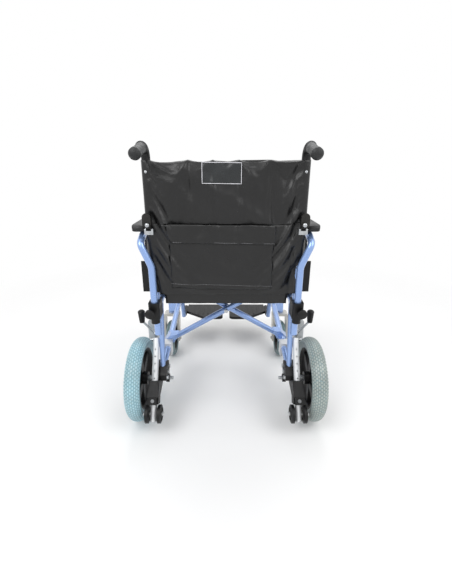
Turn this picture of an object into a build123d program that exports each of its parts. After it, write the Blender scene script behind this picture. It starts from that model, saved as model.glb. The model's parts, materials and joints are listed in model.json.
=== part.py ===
from build123d import *
import math
import os

# Attendant-pushed transport wheelchair with a folding cross frame and a half-fold back.
# Millimetres. +Z is up, +Y is the way the chair drives, +X is the sitter's right.
# The origin is on the floor, at the middle of the chair's length and width.

# Overall reach, measured from the rear axle
back_reach = 175.0
front_reach = 731.0
axle_y = (back_reach - front_reach) / 2

# General fits and fasteners
running_gap = 0.15
seat_gap = 0.3
bolt_r = 4.0
nut_r = 7.5
nut_height = 6.0
tube_r = 11.0
rail_r = 12.0
cane_r = 12.7

# Rear wheel
tyre_r = 151.0
tyre_width = 54.0
tyre_bead_r = 111.0
tyre_bead_width = 40.0
tyre_wall_r = 125.0
wheel_track = 632.0
rim_well_r = 101.0
rim_lip = 5.0
hub_r = 23.0
hub_width = 52.0
spoke_count = 6
spoke_root = 30.0
spoke_tip = 20.0
spoke_depth = 16.0
axle_z = tyre_r
wheel_x = wheel_track / 2

# Castor
castor_r = 88.0
castor_width = 42.0
castor_bead_r = 62.0
castor_hub_r = 17.0
castor_hub_width = 48.0
castor_spokes = 5
castor_x = 268.0
castor_trail = 25.0
stem_y = axle_y + 450.0
castor_y = stem_y - castor_trail
fork_gap = 56.0
fork_wall = 10.0
fork_leg = 30.0
crown_z = 218.0
crown_height = 12.0
stem_r = 8.0
housing_r = 15.0
housing_height = 46.0

# Side frame: every tube of it lies in one upright plane
frame_x = 229.0
rail_slope = 9.0
rail_rear_y = axle_y - 16.0
rail_rear_z = 202.0
front_y = axle_y + 437.0
cane_y = axle_y - 46.0
cane_foot_z = 360.0
top_rail_rear_z = 452.0
top_rail_slope = 3.5
top_rail_bend = 45.0
upright_top_y = axle_y + 22.0
upright_r = 9.5
gusset_thickness = 5.0
rail_rise = math.tan(math.radians(rail_slope))
top_rail_rise = math.tan(math.radians(top_rail_slope))


def rail_z(y):
    return rail_rear_z + (y - rail_rear_y) * rail_rise


def top_rail_z(y):
    return top_rail_rear_z + (y - cane_y) * top_rail_rise


# Cross brace, drawn in the plane square to the bottom rails
brace_y = axle_y + 165.0
brace_z = rail_z(brace_y)
brace_angle = 32.5
brace_r = 11.0
brace_step = 12.5
seat_x = 203.0
seat_rail_r = 11.0
seat_rail_rear_y = axle_y + 14.0
seat_rail_front_y = axle_y + 397.0
sleeve_r = 15.5
sleeve_length = 58.0
saddle_width = 42.0
brace_tan = math.tan(math.radians(brace_angle))
brace_plane = Plane(
    origin=(0, brace_y, brace_z),
    x_dir=(1, 0, 0),
    z_dir=(0, -math.cos(math.radians(rail_slope)), -math.sin(math.radians(rail_slope))),
)
centre_rise = frame_x * brace_tan
seat_rise = centre_rise + seat_x * brace_tan
seat_point = brace_plane.from_local_coords(Vector(seat_x, seat_rise, 0))


def seat_z(y):
    return seat_point.Z + (y - seat_point.Y) * top_rail_rise


# Back posts, half-fold hinge and push handles
hinge_z = 717.0
hinge_y = cane_y - 28.0
hinge_pin_r = 3.0
knuckle_r = 5.0
cane_break_z = 731.0
handle_z = 957.0
handle_droop = 14.0
handle_bend = 30.0
grip_r = 16.0
grip_length = 72.0
grip_dome_r = 20.0
bracket_width = 18.0
bracket_wall = 3.4
bracket_depth = 12.0
bracket_rise = 6.0
hinge_lever_width = 25.0
hinge_lever_length = 44.0
hinge_lever_thickness = 7.0
hinge_lever_z = 747.5

# Armrest
arm_post_y = cane_y - 29.0
arm_front_y = axle_y + 285.0
arm_x = 259.0
arm_bulge_z = 677.0
arm_rail_z = 697.0
arm_kink_z = 605.0
arm_front_bend = 36.0
arm_engage = 30.0
pad_inner_x = frame_x + cane_r + 1.8
pad_width = 44.0
pad_length = 330.0
pad_thickness = 24.0
pad_rear_y = axle_y - 59.0
pad_z = arm_rail_z + tube_r + seat_gap
panel_x = arm_x
panel_thickness = 6.0
panel_flange = 16.0
panel_low_z = 499.0

# Armrest sockets and their clamp knobs
socket_width = 36.0
socket_z = 434.0
socket_height = 54.0
socket_skirt = 18.0
front_socket_height = 48.0
knob_r = 15.0
knob_length = 24.0
knob_dome_r = 28.0

# Rear axle carrier
carrier_x = 250.5
carrier_width = 24.0
lug_inner_x = 213.5
axle_r = 6.0
axle_knob_r = 15.0
axle_knob_width = 28.0

# Anti-tipper
stem_lean = 29.2
stem_tube_r = 11.0
stem_wall = 1.8
stem_length = 284.0
tip_y = axle_y - 130.0
tip_z = 66.0
tip_wheel_r = 31.0
tip_wheel_width = 16.0
tip_wheel_offset = 21.0
tip_wheel_up = 24.0
index_pitch = 25.0
index_count = 5
sleeve_start = 58.0
sleeve_run = 78.0
index_r = 2.5
button_r = 6.0
button_travel = 3.0
stem_dir = Vector(0, math.sin(math.radians(stem_lean)), math.cos(math.radians(stem_lean)))
tip_point = Vector(carrier_x, tip_y, tip_z)
tip_axle = tip_point + stem_dir * tip_wheel_up

# Parking brake
clamp_y = axle_y + 113.0
clamp_width = 39.0
clamp_length = 40.0
clamp_low_z = 186.0
clamp_high_z = 240.0
plate_x = 300.0
plate_y = axle_y + 168.0
plate_width = 38.0
plate_height = 114.0
plate_thickness = 14.0
plate_z = 252.0
lever_x = 285.0
lever_y = axle_y + 146.0
lever_z = 257.0
lever_rod_r = 4.5
brake_grip_r = 14.0
brake_grip_length = 54.0
brake_dome_r = 16.0
shoe_r = 6.5
shoe_drop = 28.0

# Leg rest hanger and footplate
barrel_r = 17.0
barrel_low_z = 352.0
barrel_height = 76.0
hanger_reach = 52.0
hanger_bend = 40.0
hanger_foot_y = axle_y + 590.0
foot_z = 130.0
plate_pin_r = 8.0
plate_barrel_r = 13.0
foot_rear_y = axle_y + 561.0
foot_front_y = axle_y + front_reach
foot_inner_x = 18.0
foot_slant_x = 119.0
foot_thickness = 14.0
foot_corner = 22.0

# Soft parts
back_low_half = frame_x - socket_width / 2 - seat_gap
back_top_half = frame_x - cane_r - seat_gap
back_thickness = 16.0
back_top_z = 905.0
back_low_z = 472.0
back_split_z = 737.0
back_face_y = cane_y - 4.0
seat_thickness = 5.0


def to_side(side):
    # every paired piece is drawn on the sitter's right and mirrored for the left
    if side == "left":
        mirror(about=Plane.YZ, mode=Mode.REPLACE)


def rod(start, end, radius, mode=Mode.ADD):
    # a round bar between two points
    run = Vector(*end) - Vector(*start)
    with Locations(Plane(origin=start, z_dir=run)):
        Cylinder(radius, run.length, align=(Align.CENTER, Align.CENTER, Align.MIN), mode=mode)


def bent_bar(points, bends, radius):
    # a round bar along straight runs joined by round bends
    with BuildLine() as route:
        FilletPolyline(*points, radius=bends)
    with BuildSketch(Plane(origin=route.line @ 0, z_dir=route.line % 0)) as section:
        Circle(radius)
    sweep(sections=section.sketch, path=route.wires()[0])


def dome_drop(radius, dome_r):
    # how far a dome's edge lies below its top
    return dome_r - math.sqrt(dome_r**2 - radius**2)


def along_x(y, z):
    return Plane(origin=(0, y, z), x_dir=(0, 1, 0), z_dir=(1, 0, 0))


def side_frame(side):
    rail_front = (frame_x, front_y, rail_z(front_y))
    corner = (frame_x, front_y, top_rail_z(front_y))
    with BuildPart() as frame:
        # bottom rail, front upright and top rail
        rod((frame_x, rail_rear_y, rail_rear_z), rail_front, rail_r)
        bent_bar(
            [(frame_x, front_y, rail_front[2] - rail_r), corner, (frame_x, cane_y, top_rail_z(cane_y))],
            top_rail_bend,
            rail_r,
        )
        # rear upright and lower back post with its weld plate
        rod((frame_x, rail_rear_y, rail_rear_z), (frame_x, upright_top_y, top_rail_z(upright_top_y)), upright_r)
        rod((frame_x, cane_y, cane_foot_z), (frame_x, cane_y, cane_break_z - seat_gap), cane_r)
        with BuildSketch(Plane.YZ.offset(frame_x)):
            with BuildLine():
                Polyline(
                    (cane_y, cane_foot_z + 8),
                    (rail_rear_y + 26, cane_foot_z + 8),
                    (upright_top_y, top_rail_z(upright_top_y)),
                    (cane_y, top_rail_z(cane_y)),
                    close=True,
                )
            make_face()
        extrude(amount=gusset_thickness / 2, both=True)
        # castor stem housing on its bracket
        with Locations((castor_x, stem_y, crown_z + seat_gap)):
            Cylinder(
                housing_r, housing_height, align=(Align.CENTER, Align.CENTER, Align.MIN)
            )
        with BuildSketch(Plane.XY.offset(crown_z + 12)):
            with BuildLine():
                Polyline(
                    (frame_x, front_y - rail_r),
                    (castor_x, stem_y - housing_r),
                    (castor_x, stem_y + housing_r),
                    (frame_x, front_y + rail_r),
                    close=True,
                )
            make_face()
        extrude(amount=housing_height - 8)
        with Locations((castor_x, stem_y, crown_z)):
            Cylinder(
                stem_r + running_gap,
                housing_height - 6,
                align=(Align.CENTER, Align.CENTER, Align.MIN),
                mode=Mode.SUBTRACT,
            )
        to_side(side)
    frame.part.label = f"{side}_side_frame"
    export_step(frame.part, f"parts/{side}_side_frame.step")


def castor_fork(side):
    leg_x = fork_gap / 2 + fork_wall
    axle_point = (castor_x, castor_y, castor_r)
    with BuildPart() as fork:
        # inverted U seen from the front, trimmed by its side view
        with BuildSketch(Plane.XZ.offset(-stem_y - fork_leg)):
            with BuildLine():
                Polyline(
                    (castor_x - leg_x, castor_r - 14),
                    (castor_x - leg_x, crown_z),
                    (castor_x + leg_x, crown_z),
                    (castor_x + leg_x, castor_r - 14),
                    (castor_x + fork_gap / 2, castor_r - 14),
                    (castor_x + fork_gap / 2, crown_z - crown_height),
                    (castor_x - fork_gap / 2, crown_z - crown_height),
                    (castor_x - fork_gap / 2, castor_r - 14),
                    close=True,
                )
            make_face()
        extrude(amount=2 * fork_leg + castor_trail)
        top_edges = fork.edges().filter_by(Axis.Y).group_by(Axis.Z)[-1]
        fillet(top_edges, crown_height)
        with BuildSketch(Plane.YZ) as outline:
            with BuildLine():
                Polyline(
                    (castor_y - 12, castor_r - 14),
                    (stem_y - fork_leg, crown_z - 30),
                    (stem_y - fork_leg, crown_z + 1),
                    (stem_y + fork_leg - 8, crown_z + 1),
                    (stem_y + fork_leg - 8, crown_z - 30),
                    (castor_y + 12, castor_r - 14),
                    close=True,
                )
            make_face()
        extrude(amount=castor_x + leg_x + 1, mode=Mode.INTERSECT)
        # stem pin up into the housing
        with Locations((castor_x, stem_y, crown_z - 2)):
            Cylinder(stem_r, housing_height - 10, align=(Align.CENTER, Align.CENTER, Align.MIN))
        # wheel axle with its nuts
        rod(
            (castor_x - leg_x - nut_height, castor_y, castor_r),
            (castor_x + leg_x + nut_height, castor_y, castor_r),
            bolt_r,
        )
        for end in (-1, 1):
            with BuildSketch(Plane.YZ.offset(castor_x + end * leg_x)):
                with Locations((castor_y, castor_r)):
                    RegularPolygon(nut_r, 6)
            extrude(amount=end * nut_height)
        to_side(side)
    fork.part.label = f"{side}_castor_fork"
    export_step(fork.part, f"parts/{side}_castor_fork.step")


def castor_tyre(side):
    section = Plane(origin=(castor_x, castor_y, castor_r), x_dir=(1, 0, 0), z_dir=(0, -1, 0))
    half = castor_width / 2
    with BuildPart() as tyre:
        with BuildSketch(section):
            with BuildLine():
                ThreePointArc((-half, castor_r - 14), (0, castor_r), (half, castor_r - 14))
                Polyline(
                    (half, castor_r - 14),
                    (half - 4, castor_bead_r),
                    (4 - half, castor_bead_r),
                    (-half, castor_r - 14),
                )
            make_face()
        revolve(axis=Axis((castor_x, castor_y, castor_r), (1, 0, 0)))
        to_side(side)
    tyre.part.label = f"{side}_castor_tyre"
    export_step(tyre.part, f"parts/{side}_castor_tyre.step")


def castor_rim(side):
    section = Plane(origin=(castor_x, castor_y, castor_r), x_dir=(1, 0, 0), z_dir=(0, -1, 0))
    hub = Axis((castor_x, castor_y, castor_r), (1, 0, 0))
    half = castor_width / 2 - 4
    with BuildPart() as rim:
        with BuildSketch(section):
            with BuildLine():
                Polyline(
                    (-half, castor_bead_r),
                    (half, castor_bead_r),
                    (half, castor_bead_r - 6),
                    (0, castor_bead_r - 12),
                    (-half, castor_bead_r - 6),
                    close=True,
                )
            make_face()
            with Locations((0, castor_hub_r / 2 + bolt_r / 2)):
                Rectangle(castor_hub_width, castor_hub_r - bolt_r - running_gap * 2)
        revolve(axis=hub)
        # spokes
        with BuildSketch(along_x(castor_y, castor_r).offset(castor_x - 7)):
            with PolarLocations(0, castor_spokes, start_angle=90):
                Polygon(
                    (castor_hub_r - 3, -8),
                    (castor_bead_r - 8, -6),
                    (castor_bead_r - 8, 6),
                    (castor_hub_r - 3, 8),
                    align=None,
                )
        extrude(amount=14)
        to_side(side)
    rim.part.label = f"{side}_castor_rim"
    export_step(rim.part, f"parts/{side}_castor_rim.step")


def rear_tyre(side):
    section = Plane(origin=(wheel_x, axle_y, axle_z), x_dir=(1, 0, 0), z_dir=(0, -1, 0))
    half = tyre_width / 2
    bead = tyre_bead_width / 2
    with BuildPart() as tyre:
        with BuildSketch(section):
            with BuildLine():
                ThreePointArc((-half, tyre_wall_r), (0, tyre_r), (half, tyre_wall_r))
                Polyline(
                    (half, tyre_wall_r), (bead, tyre_bead_r), (-bead, tyre_bead_r), (-half, tyre_wall_r)
                )
            make_face()
        revolve(axis=Axis((wheel_x, axle_y, axle_z), (1, 0, 0)))
        to_side(side)
    tyre.part.label = f"{side}_rear_tyre"
    export_step(tyre.part, f"parts/{side}_rear_tyre.step")


def rear_rim(side):
    section = Plane(origin=(wheel_x, axle_y, axle_z), x_dir=(1, 0, 0), z_dir=(0, -1, 0))
    bead = tyre_bead_width / 2
    hub_low = axle_r + running_gap
    with BuildPart() as rim:
        with BuildSketch(section):
            # well with its two lips, then the hub
            with BuildLine():
                Polyline(
                    (-bead, tyre_bead_r),
                    (bead, tyre_bead_r),
                    (bead, tyre_bead_r - rim_lip),
                    (bead / 2, rim_well_r),
                    (-bead / 2, rim_well_r),
                    (-bead, tyre_bead_r - rim_lip),
                    close=True,
                )
            make_face()
            with Locations((0, (hub_r + hub_low) / 2)):
                Rectangle(hub_width, hub_r - hub_low)
        revolve(axis=Axis((wheel_x, axle_y, axle_z), (1, 0, 0)))
        # broad moulded spokes that taper to the well
        with BuildSketch(along_x(axle_y, axle_z).offset(wheel_x - spoke_depth / 2)):
            with PolarLocations(0, spoke_count, start_angle=90):
                Polygon(
                    (hub_r - 4, -spoke_root / 2 + 6),
                    (hub_r + 12, -spoke_root / 2),
                    (rim_well_r + 3, -spoke_tip / 2),
                    (rim_well_r + 3, spoke_tip / 2),
                    (hub_r + 12, spoke_root / 2),
                    (hub_r - 4, spoke_root / 2 - 6),
                    align=None,
                )
        extrude(amount=spoke_depth)
        to_side(side)
    rim.part.label = f"{side}_rear_rim"
    export_step(rim.part, f"parts/{side}_rear_rim.step")


def rear_axle(side):
    inner = carrier_x - carrier_width / 2
    hub_inner = wheel_x - hub_width / 2
    hub_outer = wheel_x + hub_width / 2
    with BuildPart() as axle:
        rod((inner - axle_knob_width - 14, axle_y, axle_z), (hub_outer + 9, axle_y, axle_z), axle_r)
        # spacer between carrier and hub, and the dome nut outside
        rod(
            (inner + carrier_width + 0.1, axle_y, axle_z), (hub_inner - seat_gap, axle_y, axle_z), axle_r + 5
        )
        with BuildSketch(Plane.YZ.offset(hub_outer + seat_gap)):
            with Locations((axle_y, axle_z)):
                RegularPolygon(nut_r + 3, 6)
        extrude(amount=7)
        # three nuts that hold the carrier to the frame, on its inboard face
        for nut_y, nut_z in carrier_bolts():
            with BuildSketch(Plane.YZ.offset(lug_inner_x - 0.05)):
                with Locations((nut_y, nut_z)):
                    RegularPolygon(nut_r, 6)
            extrude(amount=-nut_height)
        to_side(side)
    axle.part.label = f"{side}_rear_axle"
    export_step(axle.part, f"parts/{side}_rear_axle.step")


def carrier_bolts():
    return [(axle_y + 8, 198.0), (axle_y - 14, 188.0), (axle_y - 38, 180.0)]


def axle_knob(side):
    outer = carrier_x - carrier_width / 2 - 0.1
    with BuildPart() as knob:
        # six lobed hand nut on the inboard end of the axle
        with BuildSketch(along_x(axle_y, axle_z).offset(outer - axle_knob_width)):
            Circle(axle_knob_r - 4)
            with PolarLocations(axle_knob_r - 5, 6):
                Circle(5)
        extrude(amount=12)
        rod((outer - axle_knob_width + 12, axle_y, axle_z), (outer, axle_y, axle_z), axle_knob_r - 5)
        rod(
            (outer - axle_knob_width - 1, axle_y, axle_z),
            (outer + 1, axle_y, axle_z),
            axle_r + 0.05,
            mode=Mode.SUBTRACT,
        )
        to_side(side)
    knob.part.label = f"{side}_axle_knob"
    export_step(knob.part, f"parts/{side}_axle_knob.step")


def axle_carrier(side):
    housing = Plane(origin=tip_point + stem_dir * sleeve_start, x_dir=(1, 0, 0), z_dir=stem_dir)
    with BuildPart() as carrier:
        # web from the axle and the bottom rail back to the anti-tipper
        with BuildSketch(Plane.YZ.offset(carrier_x)):
            with BuildLine():
                Polyline(
                    (axle_y + 24, 214.0),
                    (axle_y + 24, axle_z - 8),
                    (axle_y + 6, axle_z - 26),
                    (axle_y - 45, 112.0),
                    (axle_y - 90, 118.0),
                    (axle_y - 66, 178.0),
                    (axle_y - 24, 216.0),
                    close=True,
                )
            make_face()
            fillet(vertices().group_by(Axis.Y)[-1], 12)
        extrude(amount=carrier_width / 2, both=True)
        # lug that wraps the end of the bottom rail
        with BuildSketch(Plane.YZ.offset(lug_inner_x)):
            with BuildLine():
                Polyline(
                    (axle_y + 22, 170.0),
                    (axle_y - 52, 170.0),
                    (axle_y - 46, 192.0),
                    (axle_y - 22, 216.0),
                    (axle_y + 22, 216.0),
                    close=True,
                )
            make_face()
            fillet(vertices(), 6)
        extrude(amount=carrier_x - lug_inner_x)
        # square sleeve for the anti-tipper with its flared rear fin
        with BuildSketch(housing):
            Rectangle(36, 34)
        extrude(amount=sleeve_run)
        with BuildSketch(housing.offset(24)):
            with Locations((0, -21)):
                Rectangle(42, 14)
        with BuildSketch(housing.offset(sleeve_run)):
            with Locations((0, -14)):
                Rectangle(24, 6)
        loft()
        # spring button housing
        with BuildSketch(housing):
            with Locations((0, -20)):
                Rectangle(27, 20)
        extrude(amount=26)
        # seats for the bottom rail's end and the rear upright
        rod(
            (frame_x, rail_rear_y, rail_rear_z),
            (frame_x, axle_y + 60, rail_z(axle_y + 60)),
            rail_r + 0.05,
            mode=Mode.SUBTRACT,
        )
        rod(
            (frame_x, rail_rear_y, rail_rear_z),
            (frame_x, upright_top_y, top_rail_z(upright_top_y)),
            upright_r + 0.05,
            mode=Mode.SUBTRACT,
        )
        # bores for the stem, the axle and the button
        with Locations(Plane(origin=tip_point, z_dir=stem_dir)):
            Cylinder(
                stem_tube_r + running_gap,
                stem_length,
                align=(Align.CENTER, Align.CENTER, Align.MIN),
                mode=Mode.SUBTRACT,
            )
        rod((carrier_x - 40, axle_y, axle_z), (carrier_x + 40, axle_y, axle_z), axle_r + 0.05, Mode.SUBTRACT)
        with Locations(button_plane()):
            Cylinder(
                button_r + running_gap,
                16,
                align=(Align.CENTER, Align.CENTER, Align.MAX),
                mode=Mode.SUBTRACT,
            )
        to_side(side)
    carrier.part.label = f"{side}_axle_carrier"
    export_step(carrier.part, f"parts/{side}_axle_carrier.step")


def button_plane():
    # on the rear face of the button housing, facing out
    outward = Vector(0, -stem_dir.Z, stem_dir.Y)
    face = tip_point + stem_dir * (sleeve_start + 13) + outward * 30
    return Plane(origin=face, x_dir=(1, 0, 0), z_dir=outward)


def antitip_button(side):
    face = button_plane()
    with BuildPart() as button:
        with Locations(face.offset(button_travel)):
            Cylinder(button_r, 12, align=(Align.CENTER, Align.CENTER, Align.MAX))
        chamfer(button.faces().sort_by(Axis.Y)[0].edges(), 1.2)
        to_side(side)
    button.part.label = f"{side}_antitip_button"
    export_step(button.part, f"parts/{side}_antitip_button.step")


def antitip_stem(side):
    axis_plane = Plane(origin=tip_point, x_dir=(1, 0, 0), z_dir=stem_dir)
    with BuildPart() as stem:
        with BuildSketch(axis_plane):
            Circle(stem_tube_r)
        extrude(amount=stem_length)
        with BuildSketch(axis_plane.offset(4)):
            Circle(stem_tube_r - stem_wall)
        extrude(amount=stem_length - 8, mode=Mode.SUBTRACT)
        # index holes in the rear wall, and the axle of the two wheels
        for step in range(index_count):
            hole = axis_plane.offset(stem_length - 140 + step * index_pitch)
            with Locations(Plane(origin=hole.origin, z_dir=(0, -stem_dir.Z, stem_dir.Y))):
                Cylinder(
                    index_r,
                    stem_tube_r + 1,
                    align=(Align.CENTER, Align.CENTER, Align.MIN),
                    mode=Mode.SUBTRACT,
                )
        reach = tip_wheel_offset + tip_wheel_width / 2 + 7
        rod(tip_axle - Vector(reach, 0, 0), tip_axle + Vector(reach, 0, 0), bolt_r)
        for end in (-1, 1):
            with BuildSketch(Plane.YZ.offset(carrier_x + end * (reach - 5))):
                with Locations((tip_axle.Y, tip_axle.Z)):
                    RegularPolygon(nut_r - 1, 6)
            extrude(amount=end * 5)
        to_side(side)
    stem.part.label = f"{side}_antitip_stem"
    export_step(stem.part, f"parts/{side}_antitip_stem.step")


def antitip_wheels(side):
    with BuildPart() as wheels:
        for end in (-1, 1):
            centre = carrier_x + end * tip_wheel_offset
            section = Plane(origin=(centre, tip_axle.Y, tip_axle.Z), x_dir=(1, 0, 0), z_dir=(0, -1, 0))
            half = tip_wheel_width / 2
            with BuildSketch(section):
                with BuildLine():
                    Polyline(
                        (-half, bolt_r + running_gap),
                        (-half, 11),
                        (4 - half, 13),
                        (4 - half, 21),
                        (-half, 23),
                        (3 - half, tip_wheel_r),
                        (half - 3, tip_wheel_r),
                        (half, 23),
                        (half - 4, 21),
                        (half - 4, 13),
                        (half, 11),
                        (half, bolt_r + running_gap),
                        close=True,
                    )
                make_face()
            revolve(axis=Axis((centre, tip_axle.Y, tip_axle.Z), (1, 0, 0)))
        to_side(side)
    wheels.part.label = f"{side}_antitip_wheels"
    export_step(wheels.part, f"parts/{side}_antitip_wheels.step")


def armrest_tube(side):
    with BuildPart() as arm:
        bent_bar(
            [
                (frame_x, arm_post_y, socket_z + socket_height - arm_engage),
                (frame_x, arm_post_y, arm_kink_z),
                (arm_x, arm_post_y, arm_bulge_z),
                (arm_x, arm_post_y + 44, arm_rail_z),
                (arm_x, arm_front_y, arm_rail_z),
                (arm_x, arm_front_y, top_rail_z(arm_front_y) + front_socket_height / 2 - arm_engage),
            ],
            [60, 24, 30, arm_front_bend],
            tube_r,
        )
        to_side(side)
    arm.part.label = f"{side}_armrest_tube"
    export_step(arm.part, f"parts/{side}_armrest_tube.step")


def armrest_pad(side):
    with BuildPart() as pad:
        with Locations((pad_inner_x, pad_rear_y, pad_z)):
            Box(pad_width, pad_length, pad_thickness, align=(Align.MIN, Align.MIN, Align.MIN))
        fillet(pad.edges().filter_by(Axis.Z), 10)
        fillet(pad.edges().group_by(Axis.Z)[-1], 5)
        to_side(side)
    pad.part.label = f"{side}_armrest_pad"
    export_step(pad.part, f"parts/{side}_armrest_pad.step")


def side_panel(side):
    low_y = arm_post_y + 66
    high_y = arm_front_y - tube_r - seat_gap
    with BuildPart() as panel:
        with BuildSketch(Plane.YZ.offset(panel_x - panel_thickness / 2)):
            with BuildLine():
                Polyline(
                    (low_y, panel_low_z),
                    (high_y, panel_low_z),
                    (high_y, arm_rail_z - tube_r - seat_gap),
                    (low_y + 8, arm_rail_z - tube_r - seat_gap),
                    (low_y, 605.0),
                    close=True,
                )
            make_face()
            front_corners = vertices().group_by(Axis.X)[-1]
            fillet(front_corners.sort_by(Axis.Y)[-1], arm_front_bend - tube_r)
        extrude(amount=panel_thickness)
        # stiffening flange at the rear edge with its cross rib
        with BuildSketch(Plane.XY.offset(panel_low_z)):
            with Locations((panel_x - panel_thickness / 2, low_y)):
                Rectangle(panel_flange + panel_thickness, 4, align=(Align.MIN, Align.MIN))
        extrude(amount=106)
        for rib_z in (panel_low_z, 562.0):
            with BuildSketch(Plane.XY.offset(rib_z)):
                with Locations((panel_x, low_y)):
                    Rectangle(panel_flange + panel_thickness / 2, 60, align=(Align.MIN, Align.MIN))
            extrude(amount=4)
        to_side(side)
    panel.part.label = f"{side}_side_panel"
    export_step(panel.part, f"parts/{side}_side_panel.step")


def armrest_sockets(side):
    rear_mid = (cane_y + arm_post_y) / 2
    front_z = top_rail_z(arm_front_y)
    with BuildPart() as sockets:
        # rear socket: a moulded clamp round the back post and the armrest post
        with Locations((frame_x, rear_mid, socket_z)):
            Box(
                socket_width,
                cane_y - arm_post_y + 2 * cane_r + 8,
                socket_height,
                align=(Align.CENTER, Align.CENTER, Align.MIN),
            )
        fillet(sockets.edges().filter_by(Axis.Z), 8)
        rod(
            (frame_x, arm_post_y, socket_z - socket_skirt),
            (frame_x, arm_post_y, socket_z + 1),
            tube_r + 3,
        )
        rod(
            (frame_x, cane_y, socket_z - 40),
            (frame_x, cane_y, socket_z + socket_height + 40),
            cane_r + 0.05,
            mode=Mode.SUBTRACT,
        )
        rod(
            (frame_x, arm_post_y, socket_z - socket_skirt + 4),
            (frame_x, arm_post_y, socket_z + socket_height + 40),
            tube_r + running_gap,
            mode=Mode.SUBTRACT,
        )
        rod(
            (frame_x, cane_y, top_rail_z(cane_y)),
            (frame_x, cane_y + 80, top_rail_z(cane_y + 80)),
            rail_r + 0.05,
            mode=Mode.SUBTRACT,
        )
        # the front socket hangs on the outside of the top rail
        with Locations((arm_x - 9, arm_front_y, front_z)):
            Box(48, 40, front_socket_height)
        rod(
            (frame_x, arm_front_y - 40, top_rail_z(arm_front_y - 40)),
            (frame_x, arm_front_y + 40, top_rail_z(arm_front_y + 40)),
            rail_r + 0.05,
            mode=Mode.SUBTRACT,
        )
        rod(
            (arm_x, arm_front_y, front_z - front_socket_height / 2 + 3),
            (arm_x, arm_front_y, front_z + 60),
            tube_r + running_gap,
            mode=Mode.SUBTRACT,
        )
        # slit for the frame's weld plate
        with Locations((frame_x, cane_y, socket_z)):
            Box(
                gusset_thickness + 0.1,
                60,
                top_rail_z(cane_y) - socket_z,
                align=(Align.CENTER, Align.MIN, Align.MIN),
                mode=Mode.SUBTRACT,
            )
        to_side(side)
    sockets.part.label = f"{side}_armrest_sockets"
    export_step(sockets.part, f"parts/{side}_armrest_sockets.step")


def socket_knob(side):
    face_y = arm_post_y - cane_r - 4 - seat_gap
    knob_x = frame_x + 10
    knob_z = socket_z + 26
    with BuildPart() as knob:
        with BuildSketch(Plane(origin=(knob_x, face_y, knob_z), x_dir=(1, 0, 0), z_dir=(0, 0, 1))):
            with BuildLine():
                Polyline(
                    (0, 0),
                    (7, 0),
                    (7, -8),
                    (knob_r - 2, -9),
                    (knob_r, -12),
                    (knob_r, dome_drop(knob_r, knob_dome_r) - knob_length),
                )
                ThreePointArc(
                    (knob_r, dome_drop(knob_r, knob_dome_r) - knob_length),
                    (knob_r / 2, dome_drop(knob_r / 2, knob_dome_r) - knob_length),
                    (0, -knob_length),
                )
                Line((0, -knob_length), (0, 0))
            make_face()
        revolve(axis=Axis((knob_x, face_y, knob_z), (0, 1, 0)))
        to_side(side)
    knob.part.label = f"{side}_socket_knob"
    export_step(knob.part, f"parts/{side}_socket_knob.step")


def brake_body(side):
    with BuildPart() as body:
        # split clamp on the bottom rail
        with Locations((frame_x - 14, clamp_y, clamp_low_z)):
            Box(
                clamp_width,
                clamp_length,
                clamp_high_z - clamp_low_z,
                align=(Align.MIN, Align.CENTER, Align.MIN),
            )
        # arm forward, then out to the plate ahead of the tyre
        with Locations((frame_x + 23, clamp_y, clamp_low_z + 2)):
            Box(7, plate_y - clamp_y, 24, align=(Align.MIN, Align.MIN, Align.MIN))
        with Locations((frame_x + 23, plate_y, clamp_low_z + 2)):
            Box(plate_x - frame_x - 23, 8, 24, align=(Align.MIN, Align.MAX, Align.MIN))
        # crowned plate
        with BuildSketch(Plane.XZ.offset(-plate_y)):
            with Locations((plate_x, plate_z)):
                RectangleRounded(plate_width, plate_height, 14)
        extrude(amount=-plate_thickness)
        rod(
            (frame_x, clamp_y - 60, rail_z(clamp_y - 60)),
            (frame_x, clamp_y + 60, rail_z(clamp_y + 60)),
            rail_r + 0.05,
            mode=Mode.SUBTRACT,
        )
        # pivot boss of the lever
        rod(
            (lever_x - 14, lever_y, lever_z),
            (lever_x - 6, lever_y, lever_z),
            9,
        )
        with Locations((lever_x - 10, lever_y, lever_z)):
            Box(8, plate_y - lever_y + 1, 14, align=(Align.CENTER, Align.MIN, Align.CENTER))
        with Locations((lever_x - 14, plate_y, lever_z)):
            Box(plate_x - lever_x + 14, 9, 14, align=(Align.MIN, Align.MAX, Align.CENTER))
        to_side(side)
    body.part.label = f"{side}_brake_body"
    export_step(body.part, f"parts/{side}_brake_body.step")


def brake_rod_end():
    return (334.0, lever_y - 4, 316.0)


def brake_lever(side):
    with BuildPart() as lever:
        rod((lever_x - 5.7, lever_y, lever_z), (lever_x + 4, lever_y, lever_z), 8)
        rod((lever_x, lever_y, lever_z), brake_rod_end(), lever_rod_r)
        # arm down to the shoe bar that meets the tyre
        rod((lever_x, lever_y, lever_z), (lever_x, lever_y + 2, lever_z - shoe_drop), 5)
        rod(
            (lever_x - 4, lever_y + 2, lever_z - shoe_drop),
            (wheel_x + 18, lever_y + 2, lever_z - shoe_drop),
            shoe_r,
        )
        to_side(side)
    lever.part.label = f"{side}_brake_lever"
    export_step(lever.part, f"parts/{side}_brake_lever.step")


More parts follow.
